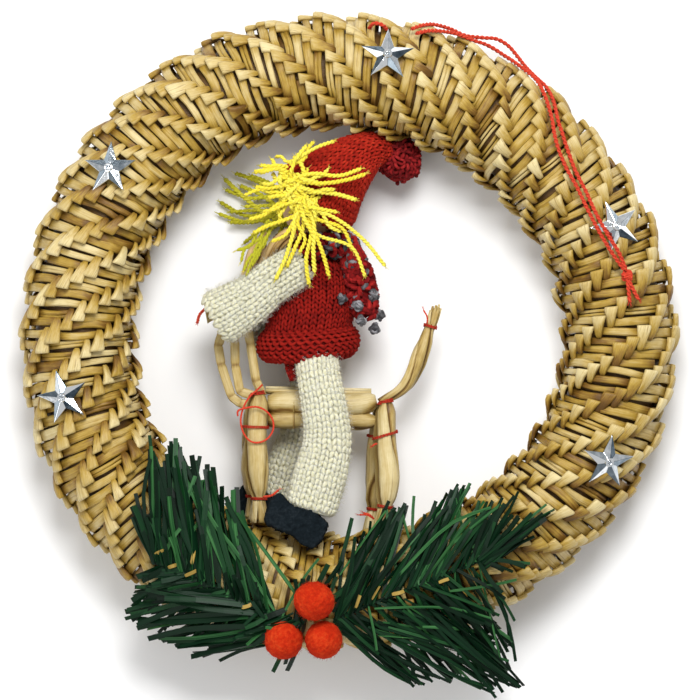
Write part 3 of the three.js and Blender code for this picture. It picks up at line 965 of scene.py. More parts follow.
@dataclass
class HangingThread(Assembly):
    """The doubled red thread that leaves the plait at the top and ends in a knot."""

    thickness: float = 1.3
    pitch: float = 2.9
    points: int = 260
    fibres: int = 60
    knot_thickness: float = 1.25
    knot: Point = (84.4, 17.2, 34.8)
    strand_a: Sequence[Point] = (
        (19.8, 91.4, 27), (23.5, 92.7, 23.8), (26.8, 92.9, 20.6), (31.5, 91.7, 17), (36.2, 89.7, 14.6),
        (41.6, 89.1, 12.9), (45.6, 88.7, 12.2), (49, 86.7, 12.6), (52.3, 82.7, 14.8), (55, 79.3, 17.8),
        (58.3, 76, 21.6), (60.3, 74, 23.6), (62.3, 70, 27), (63.7, 64, 31), (65, 59.9, 32.6),
        (66.7, 54.6, 33.9), (69, 48.5, 34.7), (71.7, 43.2, 35.5), (75.1, 35.8, 36.9), (78.4, 29.8, 37.1),
        (81.8, 24.4, 36), (84.1, 19.0, 35),
    )
    strand_b: Sequence[Point] = (
        (21.2, 90, 28.5), (24.8, 90.9, 25.5), (29.5, 90.8, 22), (33.5, 90.1, 18.7), (38.9, 88.1, 16.7),
        (42.9, 86.7, 15.9), (48.2, 83.4, 16.6), (53, 80, 20.1), (56.9, 76.7, 22.7), (59.4, 72.4, 27.3),
        (60.8, 68.4, 29.7), (61.8, 64.8, 31.4), (62.6, 59.9, 33.8), (63.6, 56, 34.5), (66, 49.9, 35),
        (69, 44.5, 35.6), (72.2, 37.8, 36.8), (75.8, 30.8, 37.2), (79.8, 24.2, 36.1), (83.4, 19.2, 35),
    )
    bight: Sequence[Point] = (
        (7.2, 91.6, 24.2), (8.4, 92.9, 27.6), (9.9, 93.0, 28.6), (11.4, 92.4, 28.2), (12.4, 91.2, 25.4),
    )
    tails: Sequence[Point] = ((85.2, 9.4, 35), (87.8, 10.2, 34.4))

    def build_knot(self) -> Piece:
        """Makes the knot, of three hoops, and its two frayed tails.

        Returns:
            The knot.
        """
        knot = Strands(11)
        middle = np.array(self.knot)
        t = np.linspace(0, 2 * pi, 15)
        for turn in range(3):
            hoop = np.stack([1.25 * np.cos(t), 0.9 * np.sin(t), 0.8 * np.sin(t + 1 + turn)], axis=1)
            hoop[:, 1] += 0.5 * turn - 0.4
            ply(knot, middle + hoop, self.knot_thickness, self.pitch, 0.5)
        for tail in self.tails:
            end = np.array(tail)
            bend = middle + (end - middle) * [0.4, 0.45, 0.4] + [0, 0, 0.3]
            heading = unit(end - bend)
            ply(knot, smooth_path([middle, bend, end], 24), self.thickness, self.pitch, 0.55)
            for _ in range(7):
                spread = knot.draw.normal(0, 0.5, 3) + heading * 1.1
                knot.fray(end - heading * 0.6, end + spread, 0.16, 0.7)
        return dressed(knot.build("thread_knot", self.palette.thread), Slot.THREAD, "hanger_knot")

    def build(self) -> None:
        """Makes the two strands, their knot and the bight on the ring."""
        knot_piece = self.build_knot()
        for name, route in (("a", self.strand_a), ("b", self.strand_b)):
            line = smooth_path(route, self.points)
            strands = Strands(12)
            ply(strands, line, self.thickness, self.pitch, 0.5)
            for _ in range(self.fibres):
                root = line[strands.draw.integers(5, self.points - 5)]
                out = unit(strands.draw.normal(0, 1, 3))
                strands.fray(root + out * 0.6, root + out * 1.1, FIBRE, FRAYED_TONE)
            strand = strands.build(f"thread_strand_{name}", self.palette.thread)
            piece = dressed(strand, Slot.THREAD, f"hanger_strand_{name}")
        bight = Strands(13)
        ply(bight, smooth_path(self.bight, 24), self.thickness, self.pitch, 0.5)
        dressed(bight.build("thread_bight", self.palette.thread), Slot.THREAD, "hanger_bight")


@dataclass
class LooseThread(Assembly):
    """The goat's loose binding thread, curled in front of its forelegs."""

    thickness: float = 0.6
    route: Sequence[Point] = (
        (-25, -15.4, 20.6), (-26.6, -17, 23.4), (-28.6, -18.8, 24.8), (-30.5, -22, 25), (-31.4, -25.9, 24.8),
        (-30.7, -29.5, 24.7), (-28.6, -32.2, 25), (-26.2, -32.7, 25.2), (-23.5, -31.6, 25.2),
        (-21.7, -28.9, 25), (-21.8, -25.9, 25), (-23.8, -23.2, 25.2), (-26.5, -22, 25.6), (-29.8, -22.3, 26),
        (-32.2, -23.2, 25.6), (-32.3, -24.7, 25.2),
    )

    def build(self) -> None:
        line = smooth_path(self.route, 150)
        strands = Strands(21)
        strands.sweep(line, self.thickness, self.thickness, 8, 0.55)
        piece = dressed(strands.build("loose_thread", self.palette.thread), Slot.THREAD, "rein_thread")


# ---- the plaited ring


@dataclass
class PlaitedRing(Assembly):
    """A spiral plait of six ridges: each straw folds over a ridge and crosses to the next."""

    radius: float = 79.7
    oval: float = 1.5
    lobe: float = 1.2
    lobe_turn: float = radians(-23)
    ridge: float = 17.2
    ridges: int = 6
    turns: float = 19 / 3
    moves: int = 1082
    overlap: int = 7  # moves from a straw's arrival at a ridge to its departure
    straw_width: float = 2.5
    straw_depth: float = 1.2
    core_reach: float = 13.1
    wave: float = 0.5  # how far a ridge swells where it runs along the outline
    split: float = 0.14  # share of the straws that are split

    def centre(self, angle: Any) -> Any:
        """The radius of the ring's centreline at an angle."""
        lobes = self.lobe * np.cos(3 * angle - self.lobe_turn)
        return self.radius + self.oval * np.cos(2 * angle) + lobes

    def place(self, angle: Any, reach: Any, around: Any) -> Array:
        """Points in the ring.

        Args:
            angle: angles round the ring.
            reach: how far they are from the centreline.
            around: angles round the tube.

        Returns:
            The points.
        """
        angle, reach, around = np.broadcast_arrays(*(np.asarray(v, float) for v in (angle, reach, around)))
        far = self.centre(angle) + reach * np.cos(around)
        height = MIDDLE_Z + reach * np.sin(around)
        return np.stack([far * np.cos(angle), far * np.sin(angle), height], axis=-1)

    @staticmethod
    def outward(angle: Any, around: Any) -> Array:
        """The way out of the tube at angles round the ring and round the tube."""
        flat = np.cos(around)
        return np.stack([flat * np.cos(angle), flat * np.sin(angle), np.sin(around)], axis=-1)

    def ridge_angle(self, move: float) -> float:
        """The angle round the tube of the middle of a move's fold."""
        return 2 * pi * move / self.ridges - self.turns * 2 * pi * (move - self.overlap / 2) / self.moves

    @staticmethod
    def press(points: Array) -> Array:
        """Presses what would be under the floor flat onto it.

        Args:
            points: the points of a piece, which are changed.

        Returns:
            The same points.
        """
        soft, most = 0.6, 0.56  # the height where it starts to give, and how far it gives
        low = points[:, 2] < soft
        points[low, 2] = soft - most * (1 - np.exp((points[low, 2] - soft) / most))
        return points

    def fold(self, strands: Strands, move: int, tone: float) -> None:
        """Adds the flared fold of one straw over its ridge, its far corner standing proud, with painted shade
        at its start and a painted highlight at that corner.

        Args:
            strands: takes the straw.
            move: number of the straw.
            tone: its tone.
        """
        tilt, rise, swell = strands.draw.normal(0, 1, 3)
        t = np.array([0.0, 0.14, 0.36, 0.62, 0.88, 0.98, 1.0])
        along = -3.4 + (6.5 + 0.45 * swell) * t
        down = 1.0 - 1.5 * t**1.15 + 0.5 * tilt * (t - 0.5)
        width = np.array([1.3, 2.2, 2.7, 3.3, 4.0, 4.1, 3.5]) * (1 + 0.1 * swell)
        depth = np.array([0.8, 1.0, 1.3, 1.7, 1.9, 1.7, 1.0])
        crest = self.ridge - 0.1 + self.wave * cos(self.ridges * self.ridge_angle(move)) + 0.3 * rise
        reach = crest + np.array([-1.6, -0.9, -0.2, 0.4, 0.7, 0.45, -0.4]) - depth / 2
        angle = 2 * pi * (move - self.overlap / 2) / self.moves + along / self.radius
        around = self.ridge_angle(move) + down / self.ridge
        line = self.place(angle, reach, around)
        out, flat = self.outward(angle, around), np.sin(around)
        side = np.stack([flat * np.cos(angle), flat * np.sin(angle), -np.cos(around)], axis=-1)
        lean = ((0.05 + 0.42 * t + 0.16 * tilt) * np.sin(pi * (0.25 + 0.75 * t)))[:, None]
        raised = side * np.cos(lean) + out * np.sin(lean)
        upright = out * np.cos(lean) - side * np.sin(lean)
        # painted shade at the fold's start, in the shadow of the fold before it, and a painted highlight at
        # its proud corner; deep paints shade on its underside
        shade = tone + np.array([-0.5, -0.4, -0.2, 0.0, 0.15, 0.2, 0.0])
        strands.sweep(line, width, depth, 8, shade, up=upright, side=raised, boxy=0.5, deep=0.3)

    def crossing(self, strands: Strands, move: int, tone: float) -> None:
        """Adds the straight run of one straw from its fold to the next ridge, split in two for a few, with
        painted shade at both ends where it tucks under the ridges.

        Args:
            strands: takes the straw.
            move: number of the straw.
            tone: its tone.
        """
        angle = 2 * pi * move / self.moves
        start = self.ridge_angle(move) + 0.7 / self.ridge
        stop = self.ridge_angle(move + self.overlap) + 0.9 / self.ridge
        stop += 2 * pi * round((start + pi / 4 - stop) / (2 * pi))
        swell = self.wave * np.cos(self.ridges * np.array([start, stop]))
        ends = self.place(angle, np.array([15.7, 15.3]) + swell, np.array([start, stop]))
        sway = strands.draw.normal(0, 0.28, 3)
        # painted shade at both ends, where the straw tucks under the ridges; deep paints shade on its
        # underside
        shade = tone + np.array([-0.35, 0.05, 0.0, -0.4])
        t = np.array([0.0, 0.35, 0.65, 1.0])[:, None]
        line = ends[0] + (ends[1] - ends[0]) * t
        out = self.outward(angle, start + (stop - start) * t[:, 0])
        forward = np.array([-sin(angle), cos(angle), 0.0])
        bow = sway[0] * (1 - t) + sway[1] * t + 1.2 * sway[2] * np.sin(pi * t)
        line += out * (0.25 + 0.9 * sway[2]) * np.sin(pi * t) + forward * bow
        scale = np.hypot(line[:, 0], line[:, 1]) / self.radius
        width = self.straw_width * scale * float(np.clip(1 + 0.14 * strands.draw.normal(), 0.72, 1.2))
        if strands.draw.uniform() < self.split:
            for aside, dip in ((-0.56, 0.0), (0.56, 0.25)):
                half = line + forward * aside - out * dip
                strands.sweep(half, width * 0.5, self.straw_depth * 0.8, 6, shade, up=out, deep=0.45)
            return
        strands.sweep(line, width, self.straw_depth, 8, shade, up=out, boxy=0.65, deep=0.5)

    def build(self) -> None:
        """Plaits the ring round a dark core, a painted shadow that shows in the gaps between the straws."""
        strands = Strands(31)
        tones = np.clip(strands.draw.normal(0.5, 0.22, self.moves), 0.05, 1.0)
        for move in range(self.moves):
            self.crossing(strands, move, float(tones[move]))
            self.fold(strands, move, float(tones[move] + strands.draw.normal(0.08, 0.12)))
        # the core is painted shadow: a dark sheet at tone -1, which takes the straw's shadow colour, where
        # the gaps between straws lie in shade
        lap = np.linspace(0, 2 * pi, 120, endpoint=False)
        section = -np.linspace(0, 2 * pi, 16, endpoint=False)
        grid = self.place(lap[:, None], self.core_reach, section[None])
        strands.surface(np.vstack([grid, grid[:1]]), -1.0, caps=False)
        piece = strands.build("plaited_ring", self.palette.plait, self.press)
        dressed(piece, Slot.PLAIT, "wreath_ring")


# ---- pieces modelled from primitives


class Workshop:
    """Small steps that every modelled piece needs."""

    @staticmethod
    def clear() -> None:
        """Leaves edit mode with nothing selected."""
        if bpy.context.mode != "OBJECT":
            bpy.ops.object.mode_set(mode="OBJECT")
        bpy.ops.object.select_all(action="DESELECT")

    @staticmethod
    def move_points(piece: Piece, move: Callable[[Array], Array]) -> None:
        """Moves all vertices of a piece.

        Args:
            piece: a mesh object at the origin, in metres.
            move: gives the new places for old ones, in millimetres from the ring's centre.
        """
        points = np.empty(len(piece.data.vertices) * 3, np.float32)
        piece.data.vertices.foreach_get("co", points)
        places = move(points.reshape(-1, 3).astype(float) / MM - WREATH_AT)
        piece.data.vertices.foreach_set("co", ((places + WREATH_AT) * MM).astype(np.float32).ravel())
        piece.data.update()

    @staticmethod
    def settle(piece: Piece, name: str, material: Material) -> Piece:
        """Names a piece, puts its place into its mesh and gives it its finish.

        Args:
            piece: the modelled piece.
            name: its name.
            material: its finish.

        Returns:
            The piece.
        """
        Workshop.clear()
        piece.select_set(True)
        bpy.context.view_layer.objects.active = piece
        bpy.ops.object.transform_apply(location=True, rotation=True, scale=True)
        piece.name = name
        piece.data.name = name
        piece.data.materials.clear()
        piece.data.materials.append(material)
        return piece

    @staticmethod
    def modify(piece: Piece, kind: str, **settings: Any) -> None:
        """Adds a modifier to a piece and applies it.

        Args:
            piece: the piece.
            kind: the modifier's type.
            **settings: its properties.
        """
        Workshop.clear()
        piece.select_set(True)
        bpy.context.view_layer.objects.active = piece
        modifier = piece.modifiers.new(kind.lower(), kind)
        for name, setting in settings.items():
            setattr(modifier, name, setting)
        bpy.ops.object.modifier_apply(modifier=modifier.name)


# ---- stars


@dataclass
class SilverStar(Assembly):
    """A five-pointed silvered star: raised arms with a crest, a rim and a dimpled boss in the middle."""

    name: str
    angle: float
    turn: float
    points: int = 5
    tip: float = 8.4
    waist: float = 3.3
    edge: float = 0.7
    height: float = 2.3
    lean: float = radians(20)
    boss: float = 1.0
    boss_rim: float = 0.45
    seat: float = 0.3

    def model_arms(self) -> Piece:
        """Models the flat star from a cone: its rim is drawn out to points and waists, then gets an edge.

        Returns:
            The star, at the origin.
        """
        Workshop.clear()
        bpy.ops.mesh.primitive_cone_add(
            vertices=2 * self.points, radius1=self.tip * MM, radius2=0, depth=(self.height - self.edge) * MM,
            end_fill_type="NGON",
        )
        star = bpy.context.object
        mesh = bmesh.new()
        mesh.from_mesh(star.data)
        rim = [v for v in mesh.verts if hypot(v.co.x, v.co.y) > 0.5 * self.tip * MM]
        rim.sort(key=lambda v: np.arctan2(v.co.y, v.co.x))
        for number, vert in enumerate(rim):
            reach = self.tip if number % 2 == 0 else self.waist
            direction = pi / 2 + number * pi / self.points
            vert.co = Vector((reach * MM * cos(direction), reach * MM * sin(direction), vert.co.z))
        mesh.to_mesh(star.data)
        mesh.free()
        bpy.ops.object.mode_set(mode="EDIT")
        bpy.ops.mesh.select_all(action="DESELECT")
        bpy.ops.object.mode_set(mode="OBJECT")
        for face in star.data.polygons:
            face.select = len(face.vertices) > 4
        bpy.ops.object.mode_set(mode="EDIT")
        bpy.ops.mesh.extrude_region_move(TRANSFORM_OT_translate={"value": (0, 0, -self.edge * MM)})
        bpy.ops.mesh.select_all(action="SELECT")
        bpy.ops.mesh.normals_make_consistent(inside=False)
        bpy.ops.object.mode_set(mode="OBJECT")
        sharp = {"limit_method": "ANGLE", "angle_limit": radians(20)}
        Workshop.modify(star, "BEVEL", width=0.16 * MM, segments=2, **sharp)
        return star

    def paint_facet_reflections(self, star: Piece) -> None:
        """Paints reflections on the facets: each gets a tone of its own, lighter on one side of an arm than
        on the other.

        Args:
            star: the flat star.
        """
        sides = 2 * self.points
        draw = np.random.default_rng(int(self.angle * 10))
        # painted reflection: facets on one side of each arm bright, on the other dark
        usual = np.where(np.arange(sides) % 2 == 0, 0.85, 0.25)
        facets = np.clip(usual + draw.normal(0, 0.22, sides), 0, 1)
        tones = []
        for face in star.data.polygons:
            x, y = face.center[:2]
            facet = int((np.arctan2(y, x) - pi / 2) // (pi / self.points)) % sides
            tones.append(float(facets[facet]))
        star.data.attributes.new("tone", "FLOAT", "FACE").data.foreach_set("value", tones)

    def model_boss(self) -> Piece:
        """Models the dimpled boss.

        Returns:
            The boss, on the star's crest.
        """
        top = (self.height - self.edge) / 2
        bpy.ops.mesh.primitive_torus_add(
            major_radius=self.boss * MM, minor_radius=self.boss_rim * MM, major_segments=20, minor_segments=8,
            location=(0, 0, top * MM - 0.35 * MM),
        )
        boss = bpy.context.object
        tones = [0.8] * len(boss.data.polygons)
        boss.data.attributes.new("tone", "FLOAT", "FACE").data.foreach_set("value", tones)
        return boss

    def build(self, ring: PlaitedRing) -> None:
        """Models the star flat, then seats it on the ring.

        Args:
            ring: carries the star.
        """
        star = self.model_arms()
        self.paint_facet_reflections(star)
        boss = self.model_boss()
        Workshop.clear()
        boss.select_set(True)
        star.select_set(True)
        bpy.context.view_layer.objects.active = star
        bpy.ops.object.join()
        star.rotation_mode = "QUATERNION"
        angle = radians(self.angle)
        axis = Vector((-sin(angle), cos(angle), 0.0))
        seat = ring.place(angle, ring.ridge + self.seat, pi / 2 - self.lean) + WREATH_AT
        base = Vector((0, 0, ((self.height - self.edge) / 2 + self.edge) * MM))
        spin = Quaternion((0, 0, 1), radians(self.turn) - pi / 2)
        lean = Quaternion(axis, self.lean)
        star.rotation_quaternion = lean @ spin
        star.location = Vector(seat * MM) + lean @ base
        piece = Workshop.settle(star, f"silver_star_{self.name}", self.palette.star)
        dressed(piece, Slot.STAR, f"star_{self.name}")


# ---- the straw goat

@dataclass
class StrawGoat(Assembly):
    """A goat of pressed straws, bound with red thread."""

    front: float = -23.4
    rear: float = 8.8
    back: float = -20.6
    near: float = MIDDLE_Z + 4.3
    far: float = MIDDLE_Z - 4.3
    thread: float = 0.52
    thread_pitch: float = 1.4
    leg_profile: Profile = (
        (0, 1.3), (0.03, 2.2), (0.09, 3.1), (0.26, 3.3), (0.42, 3.7), (0.62, 3.8), (0.76, 3.0), (0.83, 1.9),
        (1, 2.8),
    )
    horn_profile: Profile = ((0, 1), (0.3, 1.9), (0.6, 2.4), (0.82, 2.1), (0.9, 1), (1, 1.1))
    head_profile: Profile = ((0, 1.8), (0.2, 3.6), (0.5, 3.8), (0.78, 2.2), (0.86, 2.2), (1, 3))
    tail_profile: Profile = ((0, 1.1), (0.1, 1.5), (0.3, 2.2), (0.5, 2.4), (0.7, 2.1), (0.84, 1.3), (1, 2.1))

    @staticmethod
    def splay(strands: Strands, form: Form, leaves: int = 7, first: float = 0.84, last: float = 1.02) -> None:
        """Lays flat straws round the foot of a leg.

        Args:
            strands: takes the straws.
            form: gives the leg's shape.
            leaves: how many straws there are.
            first: share of the path where they start.
            last: share where they end.
        """
        depth = 0.5
        share = np.linspace(first, last, 6)
        girth = np.array([form.girth(float(s)) for s in share])
        taper = np.interp(share, [first, first + 0.06, last - 0.06, last], [0.8, 1, 1, 0.85])
        for leaf in range(leaves):
            part = leaf / leaves + 0.04 + strands.draw.normal(0, 0.012)
            wander = 0.02 * np.sin(share * 6 + strands.draw.uniform(0, 6))
            line, out = form.at(share, form.turn(part + wander), -depth * 0.45)
            width = np.maximum(girth / leaves * 0.9 * (1 + strands.draw.normal(0, 0.08)), 0.8) * taper
            strands.sweep(line, width, depth, 10, up=out, boxy=0.8)

    @staticmethod
    def crush(
        strands: Strands, form: Form, leaves: int, step: float, twist: float, rows: int = 44,
        last: float = 1.0, phase: float = 0.0,
    ) -> None:
        """Wraps a form in pressed straw: leaves that overlap along wandering edges, with painted shade in the
        grooves where they overlap and in their creases.

        Args:
            strands: takes the straw.
            form: gives the bundle's shape.
            leaves: how many leaves there are round it.
            step: how far one leaf's edge stands over the next.
            twist: turns of the leaves from end to end.
            rows: points along it.
            last: share of the path where it ends.
            phase: turn of the first edge, in parts of the girth.
        """
        draw, across = strands.draw, 9

        def ripple(slowest: float, fastest: float) -> Array:
            """A wave along each leaf, each with a draw for its pace and its start."""
            paces = draw.uniform(slowest, fastest, leaves)
            return np.sin(share[:, None] * paces + draw.uniform(0, 6.3, leaves))

        share = np.linspace(0.0, last, rows)
        edges = (np.arange(leaves) + draw.uniform(-0.22, 0.22, leaves)) / leaves + phase
        sway = draw.uniform(0.1, 0.4, leaves) / leaves
        edges = edges + sway * ripple(3, 8) + twist * share[:, None]
        closed = np.concatenate([edges, edges[:, :1] + 1.0], axis=1)
        t = np.linspace(0, 1, across, endpoint=False)
        part = closed[:, :-1, None] + np.diff(closed, axis=1)[..., None] * t
        gape = 0.08 + 0.10 * ripple(4, 9) ** 2
        groove = np.exp(-((t / gape[..., None]) ** 2))
        bulge = 0.10 * ripple(6, 16) + draw.normal(0, 0.1, leaves)
        crease = np.exp(-(((t - draw.uniform(0.3, 0.8, leaves)[:, None]) / 0.07) ** 2))
        lift = (t - 0.55) * step - groove * step * 0.9 + bulge[..., None] - 0.14 * crease
        part, lift = part.reshape(rows, -1), lift.reshape(rows, -1)
        half = form.half(share)
        lift = lift * np.clip(half / 2.2, 0.4, 1.0)[:, None]
        grid, _ = form.at(share[:, None], form.turn(part), lift)
        # painted shade: darker in the grooves where leaves overlap and in their creases; the tone is also
        # darker towards the start of the path
        tone = draw.uniform(0.4, 0.85, leaves)[:, None] - 0.8 * groove - 0.2 * crease
        tone = (tone - 0.35 * np.exp(-((share / 0.1) ** 2))[:, None, None]).reshape(rows, -1)
        offset = np.repeat(draw.uniform(0, 300, leaves), across)
        grain = np.stack([share[:, None] * form.length + offset, part * half.mean() * 6.3, 0 * part], axis=-1)
        strands.surface(grid, tone, True, grain)

    def wind(
        self, strands: Strands, form: Form, share: float, turns: float,
        slack: float = 0.12, slant: float = 0.0,
    ) -> None:
        """Winds red thread round a bundle.

        Args:
            strands: takes the thread.
            form: the bundle.
            share: share of its path.
            turns: how often the thread goes round.
            slack: how far outside the bundle it runs.
            slant: how much lower it lies on one side than on the other.
        """
        t = np.linspace(0, 1, int(30 * turns))
        angle = form.turn(t * turns + 0.3)
        along = (t - 0.5) * self.thread * turns * 0.8 + slant / 2 * np.cos(angle)
        line, _ = form.at(share + along / form.length, angle, self.thread / 2 + slack)
        ply(strands, line, self.thread, self.thread_pitch, 0.1)

    def loose_ends(
        self, strands: Strands, root: Point, directions: Sequence[tuple[float, float]], thread: float = 0.62
    ) -> None:
        """Adds the cut ends of a binding.

        Args:
            strands: takes the thread.
            root: where the ends leave the binding.
            directions: a direction in degrees and a length for each.
            thread: their thickness.
        """
        for direction, length in directions:
            start = np.array(root)
            end = start + turned(direction, length) + [0, 0, 0.5]
            bend = start + turned(direction - 14, length * 0.5) + [0, 0, 0.7]
            ply(strands, smooth_path([start, bend, end], 14), thread, self.thread_pitch, 0.6)
            for _ in range(5):
                stray = strands.draw.normal(0, 0.35, 3) + turned(direction, 0.8)
                strands.fray(end, end + stray, 0.14, 0.8)

    def legs(self) -> dict[str, Form]:
        """The forms of the four legs."""
        paths = {
            "front_near": ((-26.2, -17.6), (-26.7, -29), (-26.2, -41), (-25.8, -56)),
            "front_far": ((-27.2, -18), (-27.4, -29), (-27.6, -41), (-27.4, -55.2)),
            "hind_near": ((12.4, -20), (12, -33.6), (12.8, -44), (11.2, -58.4)),
            "hind_far": ((11.6, -20.6), (10, -33), (9.6, -44), (8.2, -59.4)),
        }
        return {
            name: Form([(x, y, self.near if "near" in name else self.far) for x, y in path], self.leg_profile)
            for name, path in paths.items()
        }

    def build_body(self) -> None:
        """Lays the body's four rolls of straw, each with a band, and the thin straws along its back."""
        strands = Strands(41)
        lap = np.linspace(0, 2 * pi, 25)
        rolls = (
            (-0.4, -2.4, 3.3, 0.8), (-0.4, 2.4, 3.4, 0.8), (-5.2, -2.2, 2.7, -0.4), (-5.2, 2.2, 2.8, -0.4),
        )
        for drop, side, half, lift in rolls:
            y, z = self.back + drop, MIDDLE_Z + side
            path = ((self.front, y, z), (-7.0, y, z), (4.0, y - 0.4, z), (self.rear + 0.6, y + lift, z))
            start = ((0, half - 1.0), (0.06, half - 0.2), (0.12, half))
            form = Form(path, (*start, (0.86, half), (0.95, half * 0.85), (1, half * 0.5)))
            self.crush(strands, form, 2, 0.3, 0.03, 34, phase=0.27)
            strands.sweep(form.at(0.24, lap, 0.0)[0], 0.6, 0.3, 5, 0.25)
        for rise, side in ((3.5, 1.9), (4.3, -0.2), (3.0, -2.2)):
            y, z = self.back + rise, MIDDLE_Z + side
            path = ((self.front - 0.6, y, z), (self.rear - 1, y - 0.7, z))
            # deep paints shade on the thin straws' undersides
            strands.sweep(smooth_path(path, 10), 1.2, 1.0, 8, deep=0.6)
        dressed(strands.build("goat_body_straws", self.palette.straw), Slot.STRAW, "goat_body")

    def build_neck(self) -> None:
        """Bends the three neck straws up to the bound head."""
        strands = Strands(42)
        z = MIDDLE_Z
        bends = {
            2.8: ((-24.6, -21.8, z), (-31.6, -20.8, z), (-34.3, -18.7, z), (-37.4, -9, z + 0.4),
                  (-38.3, -3.4, z), (-35.6, 4.5, z)),
            2.7: ((-24.8, -19.6, z + 0.6), (-31.8, -17.4, z + 1), (-33.2, -9.4, z + 0.8),
                  (-33.3, -2, z + 0.8), (-32.6, 6, z + 0.6)),
            2.4: ((-25.0, -18.6, z + 1), (-27, -14, z + 1), (-28.7, -3, z + 1), (-30.4, 7, z + 1)),
        }
        for width, places in bends.items():
            corners = np.array(places, float)
            line = [corners[0]]
            for a, b in zip(corners[:-1], corners[1:]):
                line += [a + (b - a) * t for t in (0.12, 0.5, 0.88, 1.0)]
            kinked = np.arange(len(line)) % 4 == 0
            for layer in (-0.55, 0.55):
                sway = strands.draw.normal(0, 0.18, (1, 3))
                swell = width * np.where(kinked, 0.88, 1.0)
                layered = np.array(line) + [0, 0, layer] + sway
                # painted shade at each kink of the bend, and on the underside through deep
                strands.sweep(layered, swell, 1.0, 10, 0.55 - 0.4 * kinked, boxy=0.7, deep=0.5)
        head = Form(((-27.5, 10, z), (-34, 7.5, z), (-42, 6, z)), self.head_profile)
        self.crush(strands, head, 7, 0.6, 0.1)
        dressed(strands.build("goat_neck_straws", self.palette.straw), Slot.STRAW, "goat_neck_and_head")
        tie = Strands(43)
        self.wind(tie, head, 0.82, 2.2)
        self.loose_ends(tie, (-42.0, 7.6, z + 2.4), ((240, 5.0),), 1.1)
        dressed(tie.build("thread_muzzle", self.palette.thread), Slot.THREAD, "tie_muzzle")

    def build_horns(self) -> None:
        """Lays the twisted straws of the two horns, and binds the near one."""
        paths = {
            "near": (
                (-30, 12.6, 20.6), (-25.4, 19, 20.8), (-21.2, 25.8, 25), (-16.8, 29.4, 29.2),
                (-11.4, 31.6, 30.4),
            ),
            "far": ((-31.5, 12.6, 15), (-29, 19, 14.5), (-26.8, 25, 14), (-23.8, 30.5, 13.5)),
        }
        for seed, (name, path) in enumerate(paths.items()):
            strands = Strands(44 + seed)
            horn = Form(path, self.horn_profile)
            self.crush(strands, horn, 8, 0.5, 0.3)
            straws = strands.build(f"goat_horn_straws_{name}", self.palette.horn)
            dressed(straws, Slot.STRAW, f"goat_horn_{name}")
            if name == "near":
                tie = Strands(46)
                self.wind(tie, horn, 0.9, 1.6)
                dressed(tie.build("thread_horn", self.palette.thread), Slot.THREAD, "tie_horn")

    def build_legs(self) -> None:
        """Lays the straws of each leg, splayed at the foot, and binds them twice."""
        ends = {
            "front_near_lower": ((-24.6, -49.0, 25.4), ((24, 5.0),)),
            "hind_near_upper": ((9.5, -33.0, 24.0), ((210, 1.6),)),
            "hind_near_lower": ((8.6, -55.6, 23.0), ((165, 4.6), (150, 3.6))),
        }
        for seed, (name, form) in enumerate(self.legs().items()):
            strands = Strands(50 + seed)
            twist = 0.1 if "near" in name else -0.08
            self.crush(strands, form, 3, 0.6, twist, 60, phase=0.1 + 0.31 * seed)
            self.splay(strands, form)
            straws = strands.build(f"goat_leg_straws_{name}", self.palette.straw)
            dressed(straws, Slot.STRAW, f"goat_leg_{name}")
            for height, share in (("upper", 0.27), ("lower", 0.83)):
                place = f"{name}_{height}"
                tie = Strands(60 + seed)
                self.wind(tie, form, share, 2.0, slant=2.4 if place == "hind_near_upper" else 0.0)
                if "near" in name and height == "upper":
                    self.wind(tie, form, 0.01, 2.6, slack=0.2, slant=0.8)
                if place in ends:
                    self.loose_ends(tie, *ends[place], 0.9 if "front" in name else 0.62)
                dressed(tie.build(f"thread_{place}", self.palette.thread), Slot.THREAD, f"tie_{place}")

    def build_tail(self) -> None:
        """Twists the tail and binds its brush."""
        z = MIDDLE_Z
        path = (
            (10.2, -20.6, z), (17.4, -16.2, z), (20.8, -10.8, z), (23.4, -4.6, z), (25.6, 2.4, z),
            (26.6, 7.6, z),
        )
        form = Form(path, self.tail_profile)
        strands = Strands(70)
        self.crush(strands, form, 4, 0.7, 0.6, last=0.86)
        for _ in range(11):
            lean = strands.draw.normal(0, 1.0, 3) * [1.5, 0.3, 0.9]
            end = np.array(path[-1]) + lean + [0.3, strands.draw.uniform(-0.8, 0.8), 0]
            start = np.array([24.9, -0.6, z]) + lean * 0.35
            line = smooth_path([start, (start + end) / 2 + lean * 0.1, end], 5)
            strands.sweep(line, [0.9, 1.1, 1.2, 1.1, 0.7], 0.5, 8)
        dressed(strands.build("goat_tail_straws", self.palette.straw), Slot.STRAW, "goat_tail")
        tie = Strands(71)
        self.wind(tie, form, 0.84, 2.4, slack=0.35)
        self.loose_ends(tie, (24.6, 3.0, z + 1.6), ((105, 4.2),))
        dressed(tie.build("thread_tail", self.palette.thread), Slot.THREAD, "tie_tail")

    def build(self) -> None:
        """Makes the whole goat."""
        self.build_body()
        self.build_neck()
        self.build_horns()
        self.build_legs()
        self.build_tail()


# ---- the knitted doll


